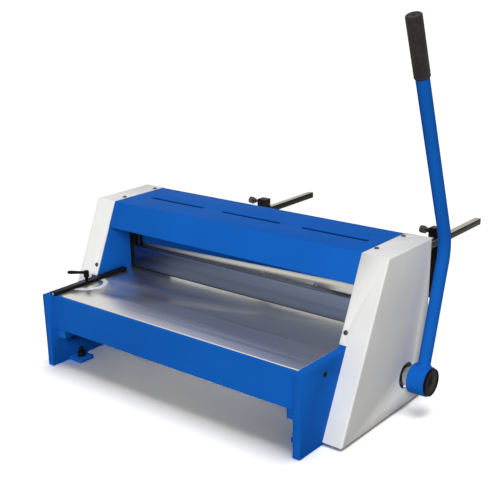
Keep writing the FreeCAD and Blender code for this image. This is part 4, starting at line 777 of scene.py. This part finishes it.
class SHEAR_OT_gauge(Operator):
    """Finish the back gauge: bars, clamps, star knobs, arms and the stop"""
    bl_idname = "shear.gauge"
    bl_label = "Back gauge"

    def execute(self, context):
        sizes = context.scene.shear_sizes
        for node in ("gauge_bar_left", "gauge_bar_right"):
            bar = merged(node)
            # The upward faces take the paler finish, a painted sheen for the light that the tops catch; the
            # sides stay black oxide.
            for face in bar.faces:
                face.material_index = int(face.normal.z > BAR_TOP)
            made = piece(node + "_made", bar, node, sizes.bar_round)
            made.data.materials.append(finish("bar_top_rubbed_bright"))
        for node in ("gauge_clamp_left", "gauge_clamp_right", "gauge_arm_left", "gauge_arm_right",
                     "back_stop"):
            dressed(node, sizes.machined_round * GAUGE_ROUND)
        for side in ("left", "right"):
            node = "clamp_knob_" + side
            low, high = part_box(node)
            middle, foot = centre(low, high), low.x + KNOB_TALL * MM
            knob = loft([(radius * MM, height * MM, {"count": 72, "lobes": sizes.knob_lobes, "depth": depth})
                         for radius, height, depth in KNOB_RINGS])
            bolt = loft([(KNOB_BOLT * MM, foot - high.x, {"count": 24}), (KNOB_BOLT * MM, 0, {"count": 24})])
            knob = placed(gathered([knob, bolt]), (foot, middle.y, middle.z), -X_AXIS)
            piece(node + "_moulded", knob, node, use="polished_black_knob")
        return {"FINISHED"}


# The scale's lines: their number, and in millimetres their lengths by turns, width, rise and outer radius
TICKS, TICK_LENGTHS = 72, (7, 4)
TICK_WIDTH, TICK_RISE, TICK_REACH = 0.5, 0.06, 46
# Rings of the clamping lever's hub and of its arm, by radius and height in millimetres
CLAMP_HUB = ((3.8, 0), (3.8, 6.2), (4.6, 7.2), (5.6, 7.5), (6.2, 8.3), (6.2, 20.6), (5.8, 21.8), (4.9, 22.5),
             (3.3, 22.5), (3.1, 21.9), (2.0, 21.9))
CLAMP_ARM = ((3.8, 4), (3.5, 8), (3.4, 14), (3.7, 22), (4.1, 30), (4.2, 35), (4.0, 39), (3.2, 41.8),
             (1.8, 43))
# The arm's height over the hub's foot in millimetres, and its turn from the lever side in degrees
CLAMP_ARM_HEIGHT, CLAMP_ARM_TURN = 18.2, 215


class SHEAR_OT_side_stop(Operator):
    """Finish the side stop with its angle scale and clamping lever"""
    bl_idname = "shear.side_stop"
    bl_label = "Side stop"

    def graduations(self, bm, middle, top):
        """Stand the scale's fine lines on its band: a long one each ten degrees, a short one between."""
        whole = set(bm.faces)
        for tick in range(TICKS):
            long, turn = TICK_LENGTHS[tick % 2] * MM, Matrix.Rotation(2 * math.pi * tick / TICKS, 4, "Z")
            reach = Matrix.Translation((TICK_REACH * MM - long / 2, 0, 0))
            bar = Matrix.Diagonal((long, TICK_WIDTH * MM, TICK_RISE * MM, 1))
            bmesh.ops.create_cube(bm, size=1, matrix=Matrix.Translation((*middle, top)) @ turn @ reach @ bar)
        for face in set(bm.faces) - whole:
            face.material_index = 1

    def execute(self, context):
        dressed("side_stop", context.scene.shear_sizes.machined_round)
        coated("stop_stud")
        low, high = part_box("angle_scale")
        scale = merged("angle_scale")
        self.graduations(scale, centre(low, high).xy, high.z)
        made = piece("angle_scale_graduated", scale, "angle_scale")
        made.data.materials.append(finish("moulded_black_nylon"))

        middle = centre(*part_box("stop_stud"))
        middle.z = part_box("clamp_lever")[0].z
        angle = math.radians(CLAMP_ARM_TURN)
        along = Vector((math.cos(angle), math.sin(angle), 0))
        hub = placed(turned(CLAMP_HUB, count=40), middle)
        arm = placed(turned(CLAMP_ARM, count=24), middle + Z_AXIS * CLAMP_ARM_HEIGHT * MM, along)
        piece("clamp_lever_cast", gathered([hub, arm]), "clamp_lever")
        return {"FINISHED"}


# Level of the sky for the light that falls on things; the camera and gloss see it white.
SKY = 0.09
# How much paler than its own colour the camera sees the floor, so that it ends in white beside the shadow.
FLOOR_LIFT = 3.85
# The floor's radius in metres, the width of its cloudy tone in millimetres, and its roughness
FLOOR_RADIUS, FLOOR_TONE, FLOOR_ROUGH = 30, 500, (0.85, 0.95)
# Each light: its level on a surface that faces it, its turn from the front to the lever side and its height
# above the bench in degrees, how soft it is in degrees, and whether it falls on the floor.
LIGHTS = {
    "ceiling_light": {"level": 0.32, "turn": 180, "height": 80, "soft": 46, "on_floor": True},
    "front_light": {"level": 0.80, "turn": 30, "height": 32, "soft": 24, "on_floor": False},
}
# The camera: its lens in millimetres, its place in metres and its turn in degrees
CAMERA_LENS = {"sensor_width": 36, "lens": 66.656, "shift_x": 0.0340, "shift_y": 0.0995, "clip_end": 100}
CAMERA_PLACE = (1.19394, -1.49523, 0.85871)
CAMERA_TURN = (69.7542, 1.1187, 39.5696)


def seen(tree, extra, base=0.0):
    """A strength that is base for the light on things, and base + extra for the camera, gloss and glass."""
    path = add(tree, "ShaderNodeLightPath").outputs
    first = sums(tree, "MAXIMUM", path["Is Camera Ray"], path["Is Glossy Ray"])
    both = sums(tree, "MAXIMUM", first, path["Is Transmission Ray"])
    return sums(tree, "MULTIPLY_ADD", both, extra, base)


class SHEAR_OT_stage(Operator):
    """Lay the floor, set the soft daylight and stand the camera"""
    bl_idname = "shear.stage"
    bl_label = "Floor, light and camera"

    def execute(self, context):
        scene = context.scene
        floor = self.floor(scene)
        self.sky(scene)
        self.lights(scene, floor)
        self.camera(scene)
        scene.view_settings.view_transform = "Standard"
        return {"FINISHED"}

    def floor(self, scene):
        """Pale paper that ends in white where no shadow falls."""
        made, tree, place = new_tree("pale_floor")
        tone = noise(tree, place, 2.0, cells(FLOOR_TONE))
        tint = add(tree, "ShaderNodeVectorMath",
                   {0: scene.shear_colours.floor, "Scale": seen(tree, FLOOR_LIFT - 1, 1)}, operation="SCALE")
        paper = add(tree, "ShaderNodeBsdfDiffuse", {"Color": tint.outputs["Vector"],
                                                    "Roughness": ranged(tree, tone, *FLOOR_ROUGH)})
        add(tree, "ShaderNodeOutputMaterial", {"Surface": paper.outputs["BSDF"]})
        shape = bmesh.new()
        bmesh.ops.create_circle(shape, cap_ends=True, radius=FLOOR_RADIUS, segments=64)
        mesh = bpy.data.meshes.new("floor")
        shape.to_mesh(mesh)
        shape.free()
        mesh.materials.append(made)
        floor = bpy.data.objects.new("floor", mesh)
        scene.collection.objects.link(floor)
        return floor

    def sky(self, scene):
        """A dim white sky that looks fully white."""
        world = scene.world or bpy.data.worlds.new("daylight")
        scene.world = world
        world.use_nodes = True
        tree = world.node_tree
        tree.nodes.clear()
        sky = add(tree, "ShaderNodeBackground", {"Color": (1, 1, 1, 1), "Strength": seen(tree, 1 - SKY, SKY)})
        add(tree, "ShaderNodeOutputWorld", {"Surface": sky.outputs["Background"]})

    def lights(self, scene, floor):
        """Two soft lights, of which the front one is flagged off the floor."""
        flagged = bpy.data.collections.new("flagged_off_the_floor")
        flagged.objects.link(floor)
        flagged.collection_objects[0].light_linking.link_state = "EXCLUDE"
        for name, light in LIGHTS.items():
            lamp = bpy.data.lights.new(name, "SUN")
            lamp.energy, lamp.angle = light["level"] * math.pi, math.radians(light["soft"])
            held = bpy.data.objects.new(name, lamp)
            held.rotation_euler = (math.radians(90 - light["height"]), 0, math.radians(light["turn"]))
            scene.collection.objects.link(held)
            if not light["on_floor"]:
                held.light_linking.receiver_collection = flagged

    def camera(self, scene):
        """Stand the camera in front, towards the lever side and higher than the table."""
        lens = bpy.data.cameras.new("camera")
        for name, setting in CAMERA_LENS.items():
            setattr(lens, name, setting)
        eye = bpy.data.objects.new("camera", lens)
        eye.location = CAMERA_PLACE
        eye.rotation_euler = [math.radians(turn) for turn in CAMERA_TURN]
        scene.collection.objects.link(eye)
        scene.camera = eye


class SHEAR_PT_panel(Panel):
    """List the machine's pieces with their sizes and colours"""
    bl_label = "Plate Shear"
    bl_idname = "SHEAR_PT_panel"
    bl_space_type = "VIEW_3D"
    bl_region_type = "UI"
    bl_category = "Plate Shear"

    def draw(self, context):
        for group in (context.scene.shear_sizes, context.scene.shear_colours):
            for name in group.__annotations__:
                self.layout.prop(group, name)
        for step in STEPS:
            self.layout.operator(step.bl_idname)


STEPS = (SHEAR_OT_plates, SHEAR_OT_sheet_metal, SHEAR_OT_table, SHEAR_OT_side_stop, SHEAR_OT_blades,
         SHEAR_OT_drive, SHEAR_OT_springs, SHEAR_OT_lever, SHEAR_OT_gauge, SHEAR_OT_screws, SHEAR_OT_feet,
         SHEAR_OT_stage)
CLASSES = (ShearSizes, ShearColours, *STEPS, SHEAR_PT_panel)


def register():
    for made in CLASSES:
        bpy.utils.register_class(made)
    bpy.types.Scene.shear_sizes = PointerProperty(type=ShearSizes)
    bpy.types.Scene.shear_colours = PointerProperty(type=ShearColours)


def unregister():
    del bpy.types.Scene.shear_colours
    del bpy.types.Scene.shear_sizes
    for made in reversed(CLASSES):
        bpy.utils.unregister_class(made)


def main():
    register()
    for step in STEPS:
        group, name = step.bl_idname.split(".")
        getattr(getattr(bpy.ops, group), name)()


if __name__ == "__main__":
    main()
